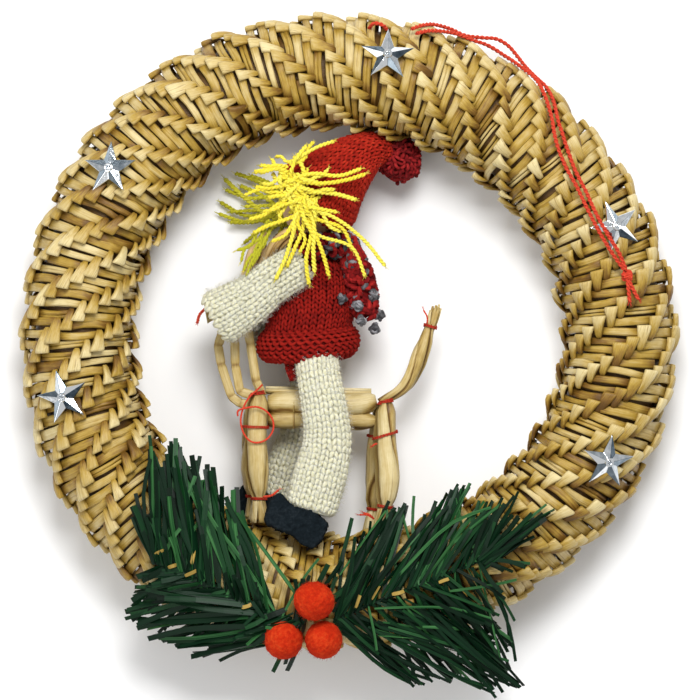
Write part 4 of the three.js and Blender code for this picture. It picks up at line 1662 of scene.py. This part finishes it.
@dataclass
class Sweater(Assembly):
    """A rib-knit sweater that hangs from a narrow neck to a thick rolled hem, open below."""

    middle_x: float = -10.2
    hem_y: float = -3.4
    neck_y: float = 28.0
    depth: float = 0.8
    dip: float = 0.1
    tilt: float = 0.06
    shift: float = 1.0
    roll: float = 4.4
    roll_reach: float = 11.3
    rib: float = 1.3
    waves: int = 34
    gauge: Gauge = Gauge(2.2, 1.4, 0.98, 0.95, 6, True, 0.35)

    def droop(self, points: Array) -> Array:
        """Lowers the front of the hem, tilts it and shifts it aside.

        Args:
            points: the points of the sweater, which are changed.

        Returns:
            The same points.
        """
        low = smoothstep((8 - points[:, 1]) / 8)
        dip, tilt = self.dip * (points[:, 2] - MIDDLE_Z), self.tilt * (points[:, 0] - self.middle_x)
        points[:, 1] -= low * (dip - tilt)
        points[:, 0] -= low * self.shift
        return points

    def hem(self, half: Array, lap: Array, rise: Array) -> Array:
        """Points of the rolled hem.

        Args:
            half: how far they are from the sweater's axis.
            lap: angles round it.
            rise: how far they are above the middle of the roll.

        Returns:
            The points.
        """
        x = self.middle_x + half * np.cos(lap)
        z = MIDDLE_Z + self.depth * half * np.sin(lap)
        return np.stack([x, self.hem_y + 0.6 + rise + 0 * lap, z], axis=-1)

    def roll_hem(self, strands: Strands) -> None:
        """Knits the purl rows of the hem over a plain core.

        Args:
            strands: takes the rows.
        """
        rows = int(2 * pi * self.roll / self.rib)
        for row in range(rows):
            lap = np.linspace(0, 2 * pi, self.waves * 8 + 1)
            wave = lap * self.waves + pi * (row % 2)
            turn = 2 * pi * (row + 0.30 * np.sin(wave)) / rows
            uneven = np.repeat(strands.draw.normal(0, 0.05, self.waves + 1), 8)[: len(lap)]
            lift = 0.05 + 0.34 * np.cos(wave + 0.5) + uneven
            half = self.roll_reach + (self.roll * 0.82 + lift) * np.cos(turn)
            line = self.hem(half, lap, (self.roll + lift) * np.sin(turn))
            swell = 1.12 + 0.14 * np.cos(wave + 0.5)
            # deep paints a little shade on each row's underside
            strands.sweep(line, swell, swell * 0.95, 5, strands.draw.uniform(0.5, 0.85), deep=0.1)
        section = -np.linspace(0, 2 * pi, 14, endpoint=False)[None]
        lap = np.linspace(0, 2 * pi, 61)[:, None]
        half = self.roll_reach + (self.roll * 0.82 - 0.5) * np.cos(section)
        strands.surface(self.hem(half, lap, (self.roll - 0.5) * np.sin(section))[::-1], 0.1, caps=False)

    def build(self) -> None:
        """Knits the body of the sweater, its hem and the red end that hangs below it."""
        strands = Strands(80)
        low, high = self.hem_y + 3.0, self.neck_y
        heights = ((low, 12.3), (3, 12.6), (8, 12.9), (16, 12.5), (21.5, 10.5), (23.4, 5.6), (high, 5.3))
        path = ((self.middle_x, low, MIDDLE_Z), (self.middle_x, high, MIDDLE_Z))
        body = Form(path, [((y - low) / (high - low), half) for y, half in heights], self.depth)
        body.skin(strands, 24, 40, 0.75, 0.1)
        body.knit(strands, self.gauge, 0.0, 0.86)
        strands.fuzz(body, 900, 1.2, 0.06)
        self.roll_hem(strands)
        for aside in (-1.0, 0.0, 0.9):
            end = ((-15.9 + aside, -6, 23), (-15.5 + aside, -9.5, 23), (-14.6 + aside * 0.6, -13.2, 22.6))
            ply(strands, smooth_path(end, 14), 1.3, 2.6, 0.3)
        sweater = strands.build("knitted_sweater", self.palette.sweater_knit, self.droop)
        piece = dressed(sweater, Slot.RED_KNIT, "doll_sweater")


@dataclass
class KnittedLimb(Assembly):
    """A knitted white tube: an arm or a leg."""

    name: str
    node: str
    path: Sequence[Point]
    profile: Profile
    depth: float
    seed: int
    first: float = -0.01
    gauge: Gauge = Gauge(2.7, 1.8, 1.52, 0.98, 6, True, 0.15, 0.45, 0.75)

    def build(self) -> None:
        """Knits the limb over a plain core."""
        form = Form(self.path, self.profile, self.depth)
        strands = Strands(self.seed)
        form.skin(strands, 24, 28, 0.3, 0.6)
        form.knit(strands, self.gauge, self.first, 1.01)
        strands.fuzz(form, 3000, 1.7, 0.07)
        limb = strands.build(self.name, self.palette.white_knit, PlaitedRing.press)
        piece = dressed(limb, Slot.WHITE_KNIT, self.node)


@dataclass
class Cap(Assembly):
    """A tall knitted cap that leans to one side, its end bent down to a pompom."""

    path: Sequence[Point] = (
        (-10.2, 38.8, 17), (-4.6, 45.4, 18.6), (1.4, 51, 18.6), (7.4, 54.9, 16.6), (12.4, 55.4, 13.4),
    )
    profile: Profile = (
        (0, 12.0), (0.05, 13.0), (0.16, 12.9), (0.32, 11.1), (0.55, 8.5), (0.78, 5.9), (0.94, 4.0), (1, 3),
    )
    gauge: Gauge = Gauge(1.85, 1.5, 0.92, 1.0, 5, True, 0.35)
    pompom: Point = (16.4, 52.3, 11.6)
    pompom_radius: float = 6.3
    pompom_loops: int = 260

    def build(self) -> None:
        """Knits the cap and makes its pompom."""
        form = Form(self.path, self.profile)
        strands = Strands(90)
        Form(self.path, [(s, h - 0.5) for s, h in self.profile]).skin(strands, 26, 36, 0.25, 0.1)
        form.knit(strands, self.gauge, 0.0, 1.02)
        strands.fuzz(form, 900, 1.0, 0.04)
        piece = dressed(strands.build("knitted_cap", self.palette.red_knit), Slot.RED_KNIT, "doll_cap")
        self.build_pompom()

    def build_pompom(self) -> None:
        """Spreads loops of yarn evenly over a ball."""
        wool = Strands(91)
        golden = pi * (3 - 5**0.5)
        centre = np.array(self.pompom)
        t = np.linspace(-1, 1, 6)
        for number in range(self.pompom_loops):
            rise = 1 - 2 * (number + 0.5) / self.pompom_loops
            flat, spin = (1 - rise**2) ** 0.5, golden * number
            out = np.array([flat * cos(spin), flat * sin(spin), rise])
            side = unit(np.cross(out, wool.draw.normal(0, 1, 3)))
            reach = self.pompom_radius * (1 + wool.draw.normal(0, 0.08))
            bow = centre + out * (reach - 1.6 * t[:, None] ** 2) + side * (1.1 * t[:, None])
            wool.sweep(bow, [0.6, 1.0, 1.15, 1.15, 1.0, 0.6], 0.9, 5)
        core = self.pompom_radius - 1
        lap = np.linspace(0, 2 * pi, 16, endpoint=False)[None]
        rise = np.linspace(-1, 1, 10)[:, None] * 0.98
        flat = (1 - rise**2) ** 0.5 * core
        ball = np.stack([flat * np.cos(lap), flat * np.sin(lap), rise * core + 0 * lap], axis=-1)
        wool.surface((centre + ball)[::-1], 0.0)
        piece = dressed(wool.build("cap_pompom", self.palette.dark_knit), Slot.RED_KNIT, "doll_cap_pompom")


@dataclass
class YarnHair(Assembly):
    """Tufts of two-ply yellow yarn in front of the head and behind it."""

    front_at: Point = (-13.4, 38.6, 32.2)
    spread: Point = (-3.2, 11.6, 0.6)
    back_at: Point = (-12.0, 37.0, 2.4)
    thickness: float = 1.45
    pitch: float = 2.6
    wave: float = 0.065
    fibres: int = 6
    curls: int = 56

    def strand(
        self, strands: Strands, root: Array, tip: Array, rise: float, tone: float, size: float = 1.0
    ) -> None:
        """Adds one bent strand with a frayed end.

        Args:
            strands: takes the strand.
            root: where it starts.
            tip: where it ends.
            rise: how far it arches upwards.
            tone: its tone.
            size: its thickness, for a usual one.
        """
        way = tip - root
        across = square_to(way)
        wave = strands.draw.normal(0, self.wave, 2) * float(np.linalg.norm(way))
        first = root + way * 0.35 + across * wave[0] + [0, 0, rise]
        second = root + way * 0.7 + across * wave[1] + [0, 0, rise * 0.8]
        points = np.array([root, first, second, tip])
        line = smooth_path(points, max(10, int(path_length(points) / 0.55)))
        ply(strands, line, self.thickness * size * strands.draw.uniform(0.85, 1.1), self.pitch, tone)
        for _ in range(self.fibres):
            stray = unit(line[-1] - line[-3]) * 0.9 + strands.draw.normal(0, 0.4, 3)
            strands.fray(line[-1], line[-1] + stray, 0.14, FRAYED_TONE)

    def root(self, front: Strands, climb: float, loose: Point) -> Array:
        """A place under the cap's edge where a front strand starts.

        Args:
            front: draws it.
            climb: how far up the cap's edge, from 0 to 1.
            loose: how far it strays each way.

        Returns:
            The place.
        """
        return np.array(self.front_at) + np.array(self.spread) * climb + front.draw.normal(0, 1, 3) * loose

    def build_front(self) -> None:
        """Makes the tuft in front of the head: long strands, a few olive ones in painted shade, and short
        curls.
        """
        tips = (
            (-3.5, 57.6), (-9.6, 57.4), (-11.8, 56.2), (-20.8, 53.0), (-19.6, 47.8), (-11.2, 49.4),
            (-27.1, 48.4), (4.7, 49.4), (6.0, 47.8), (3.2, 40.1), (-26.8, 44.0), (-30.2, 41.4), (-24.6, 36.6),
            (-28.8, 34.2), (-27.4, 30.2), (-20.8, 16.3), (-22.0, 27.6), (-17.5, 20.2), (-10.9, 14.9),
            (-9.2, 18.4), (-4.9, 17.3), (11.9, 20.3), (5.9, 17.3), (2.2, 24.8), (-1.4, 30.6), (-6.4, 47.4),
            (-15.6, 30.0), (-23.0, 40.6), (-9.0, 28.2), (-2.6, 36.4), (-17.2, 46.2), (-25.4, 50.4),
            (-13.6, 24.4),
        )
        shaded_tips = (
            (-29.6, 17.4), (-28.2, 20.4), (-31.2, 21.6), (-27.4, 24.2), (-30.4, 19.0), (-32.4, 25.0),
        )
        front = Strands(100)
        for tip in tips:
            climb = float(np.clip((tip[1] - 36) / 16 + front.draw.normal(0, 0.15), 0, 1))
            root = self.root(front, climb, (1.5, 1.0, 0.6))
            end = np.array([*tip, self.front_at[2] + front.draw.uniform(-0.4, 1.6)])
            self.strand(front, root, end, front.draw.uniform(0.6, 1.8), front.draw.uniform(0.45, 0.95))
        # painted shade: these strands take the yarn's olive stop, as yellow yarn lying in shade
        for tip in shaded_tips:
            root = np.array([-22.4, 32.6, 31.0]) + front.draw.normal(0, 0.9, 3)
            self.strand(front, root, np.array([*tip, 30.0]), 0.6, front.draw.uniform(-1.1, -0.7), 0.8)
        for _ in range(self.curls):
            angle, reach = front.draw.uniform(0, 2 * pi), front.draw.uniform(3.0, 8.5)
            root = self.root(front, front.draw.beta(1.2, 1.8), (2.4, 1.2, 0.7))
            end = root + np.array([reach * cos(angle), reach * sin(angle), front.draw.uniform(-0.6, 0.8)])
            self.strand(front, root, end, front.draw.uniform(0.8, 2.0), front.draw.uniform(0.5, 1.0))
        dressed(front.build("yarn_hair_front", self.palette.hair), Slot.HAIR, "doll_hair_front")

    def build_back(self) -> None:
        """Makes the tuft behind the head, in a darker olive copy of the yellow yarn that paints its shade."""
        tips = (
            (-36.4, 46.7), (-33.0, 48.4), (-37.9, 39.8), (-36.0, 43.4), (-31.6, 44.6), (-34.8, 36.8),
            (-38.2, 36.2), (-34.6, 33.6), (-28.4, 47.6), (-30.4, 38.4), (-28.6, 20.6), (-29.8, 17.6),
            (-27.0, 23.8), (-26.2, 16.4), (-24.4, 29.8), (-30.6, 27.4), (-8.2, 26.6), (3.6, 24.6),
            (6.2, 16.6), (-26.8, 34.8), (-24.0, 45.0),
        )
        back = Strands(101)
        for tip in tips:
            root = np.array(self.back_at) + back.draw.normal(0, 1, 3) * [1.8, 1.8, 0.3]
            end = np.array([*tip, self.back_at[2] + back.draw.uniform(-0.8, 1.2)])
            self.strand(back, root, end, back.draw.uniform(0.2, 1.0), back.draw.uniform(0.2, 0.8))
        dressed(back.build("yarn_hair_back", self.palette.back_hair), Slot.HAIR, "doll_hair_back")

    def build(self) -> None:
        """Makes both tufts."""
        self.build_front()
        self.build_back()


@dataclass
class Scarf(Assembly):
    """A chunky scarf of looped red and grey yarn, wound once, with a bushy end."""

    centre: Point = (-9.0, 26.3, MIDDLE_Z)
    radius: float = 9.4
    half: float = 3.0
    round_loops: int = 330
    tail_loops: int = 300
    knot_loops: int = 11
    tail: Sequence[Point] = ((1.2, 25, 22.5), (3.8, 18.4, 23), (5.2, 11, 21.6), (6.4, 5.4, 20))

    def loop(self, strands: Strands, place: Array, out: Array, size: float) -> None:
        """Adds one fat loop of yarn that stands on a surface.

        Args:
            strands: takes the loop.
            place: where it stands.
            out: the way out of the surface.
            size: its size.
        """
        side = unit(np.cross(out, strands.draw.normal(0, 1, 3)))
        t = np.linspace(-1, 1, 7)[:, None]
        line = place + side * size * 0.62 * t + out * size * (0.55 - 0.85 * t**2)
        thick = size * 0.62
        strands.sweep(line, thick * np.array([0.6, 0.9, 1.05, 1.1, 1.05, 0.9, 0.6]), thick, 6)

    def build(self) -> None:
        """Makes the red yarn and the grey yarn."""
        red, grey = Strands(110), Strands(111)
        middle = np.array(self.centre)
        for number in range(self.round_loops):
            lap, section = red.draw.uniform(0, 2 * pi), red.draw.uniform(0, 2 * pi)
            ray = np.array([cos(lap), 0.0, sin(lap)])
            out = ray * cos(section) + np.array([0.0, sin(section), 0.0])
            place = middle + ray * self.radius + out * self.half * 0.86
            self.loop(grey if number % 3 == 0 else red, place, out, 2.1)
        end = Form(self.tail, ((0, 2.2), (0.3, 3.1), (0.7, 3.7), (1, 2.4)))
        for number in range(self.tail_loops):
            place, out = end.at(red.draw.uniform(0.0, 1.0), red.draw.uniform(0, 2 * pi), -0.35)
            self.loop(grey if number % 11 == 0 else red, place, out, 2.3)
        end.skin(red, 12, 14, 0.9, 0.2)
        knots = (
            (3.0, 17.2, 25.0), (-1.0, 10.6, 25.4), (3.6, 8.4, 25.6), (8.0, 11.8, 23.5), (10.2, 5.4, 20.6),
            (8.8, 1.6, 19.4), (2.8, 22.0, 24.6), (6.6, 17.4, 22.4), (0.4, 27.4, 22.0), (4.6, 4.0, 24.6),
        )
        for place in knots:
            for _ in range(self.knot_loops):
                out = unit(grey.draw.normal(0, 1, 3))
                self.loop(grey, np.array(place) + out * 0.6, out, 1.7)
        lap = np.linspace(0, 2 * pi, 40)[:, None]
        section = np.linspace(0, 2 * pi, 12, endpoint=False)[None]
        thick = self.half - 0.7
        far = self.radius + thick * np.cos(section)
        core = np.stack([far * np.cos(lap), thick * np.sin(section) + 0 * lap, far * np.sin(lap)], axis=-1)
        red.surface(middle + core, 0.2, caps=False)
        dressed(red.build("scarf_red_yarn", self.palette.scarf), Slot.SCARF, "doll_scarf")
        dressed(grey.build("scarf_grey_yarn", self.palette.grey_yarn), Slot.SCARF, "doll_scarf")


@dataclass
class Boot(Assembly):
    """A flat felt boot: the outline of a toe, sole, heel and ankle, cut from a thick pad."""

    side: str
    toe: tuple[float, float]
    turn: float
    underside: float
    thick: float = 8.4
    rounding: float = 0.9
    unevenness: float = 0.035
    outline: Sequence[tuple[float, float]] = (
        (0, 0), (-2.6, -2.2), (-4.7, -8.0), (-4.1, -9.8), (0, -11.5), (4, -13.2), (6.4, -15.6), (9.9, -17.2),
        (12.6, -14.6), (14.9, -9.7), (12.2, -7.4), (9.4, -5.2), (4.6, -4.4), (2.0, -2.4),
    )

    def build(self) -> None:
        """Models the pad from a disc: its rim is laid on the outline, extruded and rounded."""
        Workshop.clear()
        bpy.ops.mesh.primitive_circle_add(vertices=len(self.outline), radius=0.01, fill_type="NGON")
        boot = bpy.context.object
        order = np.argsort([np.arctan2(v.co.y, v.co.x) for v in boot.data.vertices])
        spin = np.array([[cos(self.turn), -sin(self.turn)], [sin(self.turn), cos(self.turn)]])
        placed = np.array(self.outline, float) @ spin.T + self.toe + WREATH_AT[:2]
        for index, (x, y) in zip(order, placed):
            boot.data.vertices[index].co = Vector((x * MM, y * MM, self.underside * MM))
        bpy.ops.object.mode_set(mode="EDIT")
        bpy.ops.mesh.select_all(action="SELECT")
        bpy.ops.mesh.extrude_region_move(TRANSFORM_OT_translate={"value": (0, 0, self.thick * MM)})
        bpy.ops.mesh.select_all(action="SELECT")
        bpy.ops.mesh.normals_make_consistent(inside=False)
        bpy.ops.object.mode_set(mode="OBJECT")
        Workshop.modify(boot, "BEVEL", width=self.rounding * MM, segments=3, limit_method="ANGLE")
        Workshop.modify(boot, "REMESH", mode="VOXEL", voxel_size=0.32 * MM)
        Workshop.modify(boot, "SMOOTH", factor=0.6, iterations=3)
        piece = Workshop.settle(boot, f"felt_boot_{self.side}", self.palette.boot)
        draw = np.random.default_rng(120)
        waves = draw.normal(0, 1, (24, 3)) * 2.2
        phases = draw.uniform(0, 6.3, 24)
        bumps = np.array([v.normal[:] for v in piece.data.vertices]) * self.unevenness
        Workshop.move_points(piece, lambda p: p + bumps * np.sin(p @ waves.T + phases).sum(1)[:, None])
        for face in piece.data.polygons:
            face.use_smooth = True
        dressed(piece, Slot.BOOT, f"doll_boot_{self.side}")


@dataclass
class Doll(Assembly):
    """The knitted doll astride the goat."""

    head_at: Point = (-9.7, 38.3, MIDDLE_Z)
    head_radius: float = 9.4
    arm_profile: Profile = ((0, 4.8), (0.06, 6.0), (0.4, 6.0), (0.75, 7.4), (0.94, 8.0), (1, 6.6))
    leg_profile: Profile = ((0, 5.8), (0.2, 5.9), (0.5, 6.4), (0.8, 7.4), (0.96, 7.2), (1, 6.6))
    arm_depth: float = 0.56
    leg_depth: float = 0.62

    def build_head(self) -> None:
        """Turns the wooden bead of the head."""
        Workshop.clear()
        place = (np.array(self.head_at) + WREATH_AT) * MM
        bpy.ops.mesh.primitive_uv_sphere_add(
            segments=48, ring_count=32, radius=self.head_radius * MM, location=place
        )
        piece = Workshop.settle(bpy.context.object, "wooden_head", self.palette.wood)
        bpy.ops.object.shade_smooth()
        dressed(piece, Slot.WOOD, "doll_head")

    def build_limbs(self) -> None:
        """Makes the arms and the legs, each near one in front of the goat and each far one behind it."""
        arms = {
            "near": ((-13.2, 21, 27.6), (-21, 16.2, 28.4), (-29, 10, 28), (-39.4, 4, 27.4)),
            "far": ((-12, 18, 6.2), (-19, 12.6, 5.6), (-25, 7, 5.8), (-31.6, 1, 6)),
        }
        legs = {
            "near": (
                (-8.8, -3, 19), (-8.2, -11.4, 26.0), (-6.4, -21.8, 28.4), (-5.4, -32, 28.6),
                (-7.4, -42, 29.4), (-10.6, -53.4, 30.2),
            ),
            "far": ((-8.8, -3, 12), (-9.4, -11.6, 7), (-11.2, -26, 6), (-15, -38, 5.8), (-18.8, -50, 5.7)),
        }
        for seed, side in enumerate(arms):
            arm = (f"knitted_arm_{side}", f"doll_arm_{side}", arms[side], self.arm_profile, self.arm_depth)
            leg = (f"knitted_leg_{side}", f"doll_leg_{side}", legs[side], self.leg_profile, self.leg_depth)
            KnittedLimb(*arm, 130 + seed).build()
            KnittedLimb(*leg, 140 + seed, 0.1).build()

    def build(self) -> None:
        """Makes the whole doll."""
        self.build_head()
        Sweater().build()
        Cap().build()
        Scarf().build()
        YarnHair().build()
        self.build_limbs()
        Boot("near", (-19.7, -47.4), 0.0, 26.0).build()
        Boot("far", (-28.6, -44.2), radians(-4), 1.4).build()


# ---- berries and pine


@dataclass
class FeltBerry(Assembly):
    """A ball of red felt, slightly lumpy, with a fuzzy skin."""

    name: str
    at: Point
    radius: float
    seed: int
    fibres: int = 900

    def build(self) -> None:
        """Models the ball and its fuzz."""
        Workshop.clear()
        middle = np.array(self.at)
        bpy.ops.mesh.primitive_ico_sphere_add(
            subdivisions=6, radius=self.radius * MM, location=(middle + WREATH_AT) * MM
        )
        piece = Workshop.settle(bpy.context.object, f"felt_berry_{self.name}", self.palette.felt)
        draw = np.random.default_rng(self.seed)
        coarse, fine = draw.normal(0, 0.35, (6, 3)), draw.normal(0, 2.4, (30, 3))
        shift = draw.uniform(0, 6.3, 36)

        def lump(points: Array) -> Array:
            """Pushes points in and out along the ball's radius, by slow waves and quick ones."""
            slow = np.sin(points @ coarse.T + shift[:6]).sum(1)
            quick = np.sin(points @ fine.T + shift[6:]).sum(1)
            return points + unit(points - middle) * (0.07 * slow + 0.016 * quick - 0.1)[:, None]

        Workshop.move_points(piece, lump)
        for face in piece.data.polygons:
            face.use_smooth = True
        dressed(piece, Slot.FELT, f"berry_{self.name}")
        fuzz = Strands(self.seed)
        for _ in range(self.fibres):
            out = unit(fuzz.draw.normal(0, 1, 3))
            root = middle + out * (self.radius - 0.25)
            tip = root + out * fuzz.draw.uniform(0.25, 0.6) + fuzz.draw.normal(0, 0.28, 3)
            bend = (root + tip) / 2 + fuzz.draw.normal(0, 0.08, 3)
            fuzz.sweep(smooth_path([root, bend, tip], 3), FIBRE, FIBRE, 3, 0.5)
        dressed(fuzz.build(f"felt_fuzz_{self.name}", self.palette.felt), Slot.FELT)


@dataclass
class PineSprig(Assembly):
    """A wire stem with flat needles of two greens that fan out on all sides of it."""

    side: str
    start: Point
    end: Point
    tips: Sequence[tuple[float, float]]
    seed: int
    above: float  # direction in degrees of the needles on its upper side
    below: float
    over: int  # 1 where the upper side is on the stem's left, and -1 where it is on its right
    scraps: Sequence[tuple[float, float, float]]  # dry bits, each a place and a direction in degrees
    width: float
    longest: float = 34.0
    shortest: float = 9.0
    needles: int = 280
    rest: float = 35.5  # height of tips that lie on the ring
    sag: float = 9.0  # how much lower tips beside the ring lie
    droop: float = 6.0  # how much lower still tips outside it lie
    lowest: float = 20.0
    highest: float = 39.0
    astray: float = 38.0

    def __post_init__(self) -> None:
        """Works out the stem's heading and the flat direction square to it."""
        self.root, self.tip = np.array(self.start), np.array(self.end)
        self.heading = unit(self.tip - self.root)
        self.square = np.array([-self.heading[1], self.heading[0], 0.0])

    def needle(self, strands: Strands, root: Array, tip: Array, width: float, tone: float) -> None:
        """Adds one flat needle that arches a little and ends in a cut tip.

        Args:
            strands: takes the needle.
            root: where it starts.
            tip: where it ends.
            width: its width.
            tone: its tone.
        """
        way = tip - root
        length = float(np.linalg.norm(way))
        across = square_to(way)
        bow = strands.draw.normal(0, 0.03) * length
        lift = 0.04 * length + strands.draw.normal(0, 0.35)
        first = root + way * 0.33 + across * bow * 0.7 + [0, 0, lift * 0.8]
        second = root + way * 0.68 + across * bow + [0, 0, lift]
        line = smooth_path([root, first, second, tip], 7)
        roll = strands.draw.normal(0, 0.5)
        side, up = carried_frames(line)
        tilted = up * cos(roll) + side * sin(roll)
        shape = np.interp(np.linspace(0, 1, 7), [0, 0.15, 0.85, 1], [0.7, 1, 1, 0.95]) * 2**0.5
        strands.sweep(line, width * shape, 0.3, 4, tone, up=tilted)

    def beside(self, place: Array) -> float:
        """How far a place is to the left of the stem."""
        return float((place - self.root) @ self.square)

    def draw_tip(self, strands: Strands, number: int, direction: float) -> Array:
        """The tip of a needle: a given one first, and then places between those.

        Args:
            strands: draws it.
            number: number of the needle in its group.
            direction: the needle's direction in degrees.

        Returns:
            The tip, on the floor.
        """
        above = number % 2 == 1
        group = [np.array([x, y, 0.0]) for x, y in self.tips]
        group = [tip for tip in group if (self.beside(tip) * self.over > 0) == above]
        index = number // 2
        tip = group[index % len(group)].copy()
        if index >= len(group):
            near = sorted(group, key=lambda other: float(np.linalg.norm(other - tip)))
            tip = tip + (near[int(strands.draw.integers(1, 4))] - tip) * strands.draw.uniform(0, 1)
            tip = tip - turned(direction, 1.0) * strands.draw.uniform(0, 9.0)
        return tip

    def seat(self, strands: Strands, tip: Array, back: Array) -> Array:
        """The root of a needle, near the stem.

        Args:
            strands: draws it.
            tip: the needle's tip.
            back: the direction from the root to the tip.

        Returns:
            The root.
        """
        across = float(tip @ self.square - self.root @ self.square)
        slope = float(back @ self.square)
        run = float(np.clip(across / slope if abs(slope) > 0.1 else 20.0, self.shortest, self.longest))
        root = tip - back * run
        along = float((root - self.root) @ self.heading)
        share = float(np.clip(along / float(np.linalg.norm(self.tip - self.root)), -0.05, 1.0))
        aside = (root - self.root - self.heading * along) * [0.5, 0.5, 0]
        root = self.root + (self.tip - self.root) * share + aside
        return root + [0, 0, 0.2] + strands.draw.normal(0, 0.4, 3)

    def build(self, ring: PlaitedRing) -> None:
        """Fans the needles out to the tips and fills in between.

        Args:
            ring: carries the sprig.
        """
        strands = Strands(self.seed)
        stem = smooth_path([self.root, (self.root + self.tip) / 2 + [0, 0, 0.6], self.tip], 12)
        strands.sweep(stem - [0, 0, 1.4], 1.3, 1.3, 8, 0.1)
        for number in range(self.needles):
            usual, spread = (self.above, 7.0) if number % 2 else (self.below, 15.0)
            direction = usual + spread * strands.draw.normal()
            crosses = number % 13 == 5
            tip = self.draw_tip(strands, number, direction)
            if crosses:
                direction += strands.draw.choice([-self.astray, self.astray])
            root = self.seat(strands, tip, turned(direction, 1.0))
            outward = hypot(tip[0], tip[1])
            beside = smoothstep(np.array((abs(outward - ring.radius) - 8) / 20)).item()
            height = self.rest - self.sag * beside + strands.draw.uniform(-0.5, 3.6)
            height -= self.droop if outward > 98 else 0.0
            tip[2] = np.clip(height, self.lowest, self.highest)
            tone = 0.9 if crosses else strands.draw.beta(1.4, 2.4)
            width = self.width * strands.draw.uniform(0.75, 1.2) * (0.7 if crosses else 0.95)
            self.needle(strands, root, tip, width, tone)
        for x, y, direction in self.scraps:
            root = np.array([x, y, self.root[2] + 1.0])
            self.needle(strands, root, root + turned(direction, strands.draw.uniform(2.5, 4.5)), 1.1, 1.8)
        sprig = strands.build(f"pine_sprig_{self.side}_needles", self.palette.pine, flat=True)
        dressed(sprig, Slot.PINE, f"pine_sprig_{self.side}")


def main() -> None:
    """Builds the ornament piece by piece, and reports each."""
    logging.basicConfig(level=logging.INFO, format="%(name)s: %(message)s")
    Studio().build()
    Assembly.palette = Palette()
    HangingThread().build()
    LooseThread().build()
    ring = PlaitedRing()
    ring.build()
    stars = {
        "left_top": (145, 88), "top": (81.4, 88), "right": (21.6, 112), "left": (192.7, 105),
        "low": (334, 82),
    }
    for name, (angle, turn) in stars.items():
        SilverStar(name, angle, turn).build(ring)
    StrawGoat().build()
    Doll().build()
    FeltBerry("top", (-9.3, -80, 40.6), 6.0, 151).build()
    FeltBerry("left", (-18.4, -91.8, 34.4), 5.8, 152).build()
    FeltBerry("right", (-6.5, -91.7, 35.8), 5.7, 153).build()
    stem_z = MIDDLE_Z + ring.ridge + 1.5
    left_tips = (
        (-50.8, -31.3), (-52.3, -32.2), (-58.1, -33.7), (-58.6, -30.4), (-49.6, -34.0), (-46.0, -36.4),
        (-43.6, -36.7), (-39.7, -40.0), (-41.2, -40.6), (-37.0, -45.7), (-32.5, -46.0), (-62.8, -47.8),
        (-64.0, -51.7), (-58.1, -55.3), (-47.2, -52.9), (-49.4, -58.3), (-31.9, -63.4), (-25.6, -73.0),
        (-33.4, -72.1), (-66.1, -83.5), (-63.1, -76.0), (-62.5, -72.7), (-61.0, -77.2), (-66.1, -85.6),
        (-59.2, -91.6), (-55.0, -92.5), (-50.8, -93.7), (-46.3, -97.0), (-40.3, -95.5), (-21.7, -101.5),
        (-30.0, -88.0), (-1.1, -68.2), (-20.0, -90.0), (-56.0, -44.0), (-52.0, -40.0),
    )
    right_tips = (
        (13.1, -50.2), (14.3, -52.6), (20.6, -48.7), (17.9, -50.8), (27.2, -50.2), (30.5, -47.8),
        (33.8, -45.1), (34.4, -46.9), (31.7, -49.3), (37.4, -44.8), (41.6, -50.2), (44.0, -49.9),
        (47.0, -49.0), (51.8, -47.2), (51.8, -54.4), (60.2, -51.1), (62.6, -52.6), (55.1, -56.2),
        (55.3, -68.8), (46.1, -84.4), (50.3, -92.2), (50.6, -94.3), (45.2, -97.3), (49.4, -100.9),
        (53.6, -105.7), (49.4, -105.7), (45.2, -109.3), (34.7, -103.0), (31.7, -104.8), (23.0, -105.4),
        (20.6, -106.0), (2.0, -55.3), (8.0, -70.0), (10.0, -96.0),
    )
    left_scraps = ((-57, -66, 20), (-53, -70, 18), (-46, -69, 80), (-48, -72.5, 25), (-31, -82, 20))
    right_scraps = ((8, -79.5, 60), (28, -74.5, 20), (3, -82, 70), (14, -78, 15))
    left_stem = ((-16, -85.5, stem_z), (-57, -68.5, stem_z))
    right_stem = ((-1, -84.5, stem_z), (40, -68, stem_z))
    PineSprig("left", *left_stem, left_tips, 161, 97, 193, -1, left_scraps, 1.5).build(ring)
    PineSprig("right", *right_stem, right_tips, 162, 63, -37, 1, right_scraps, 1.15).build(ring)


if __name__ == "__main__":
    main()
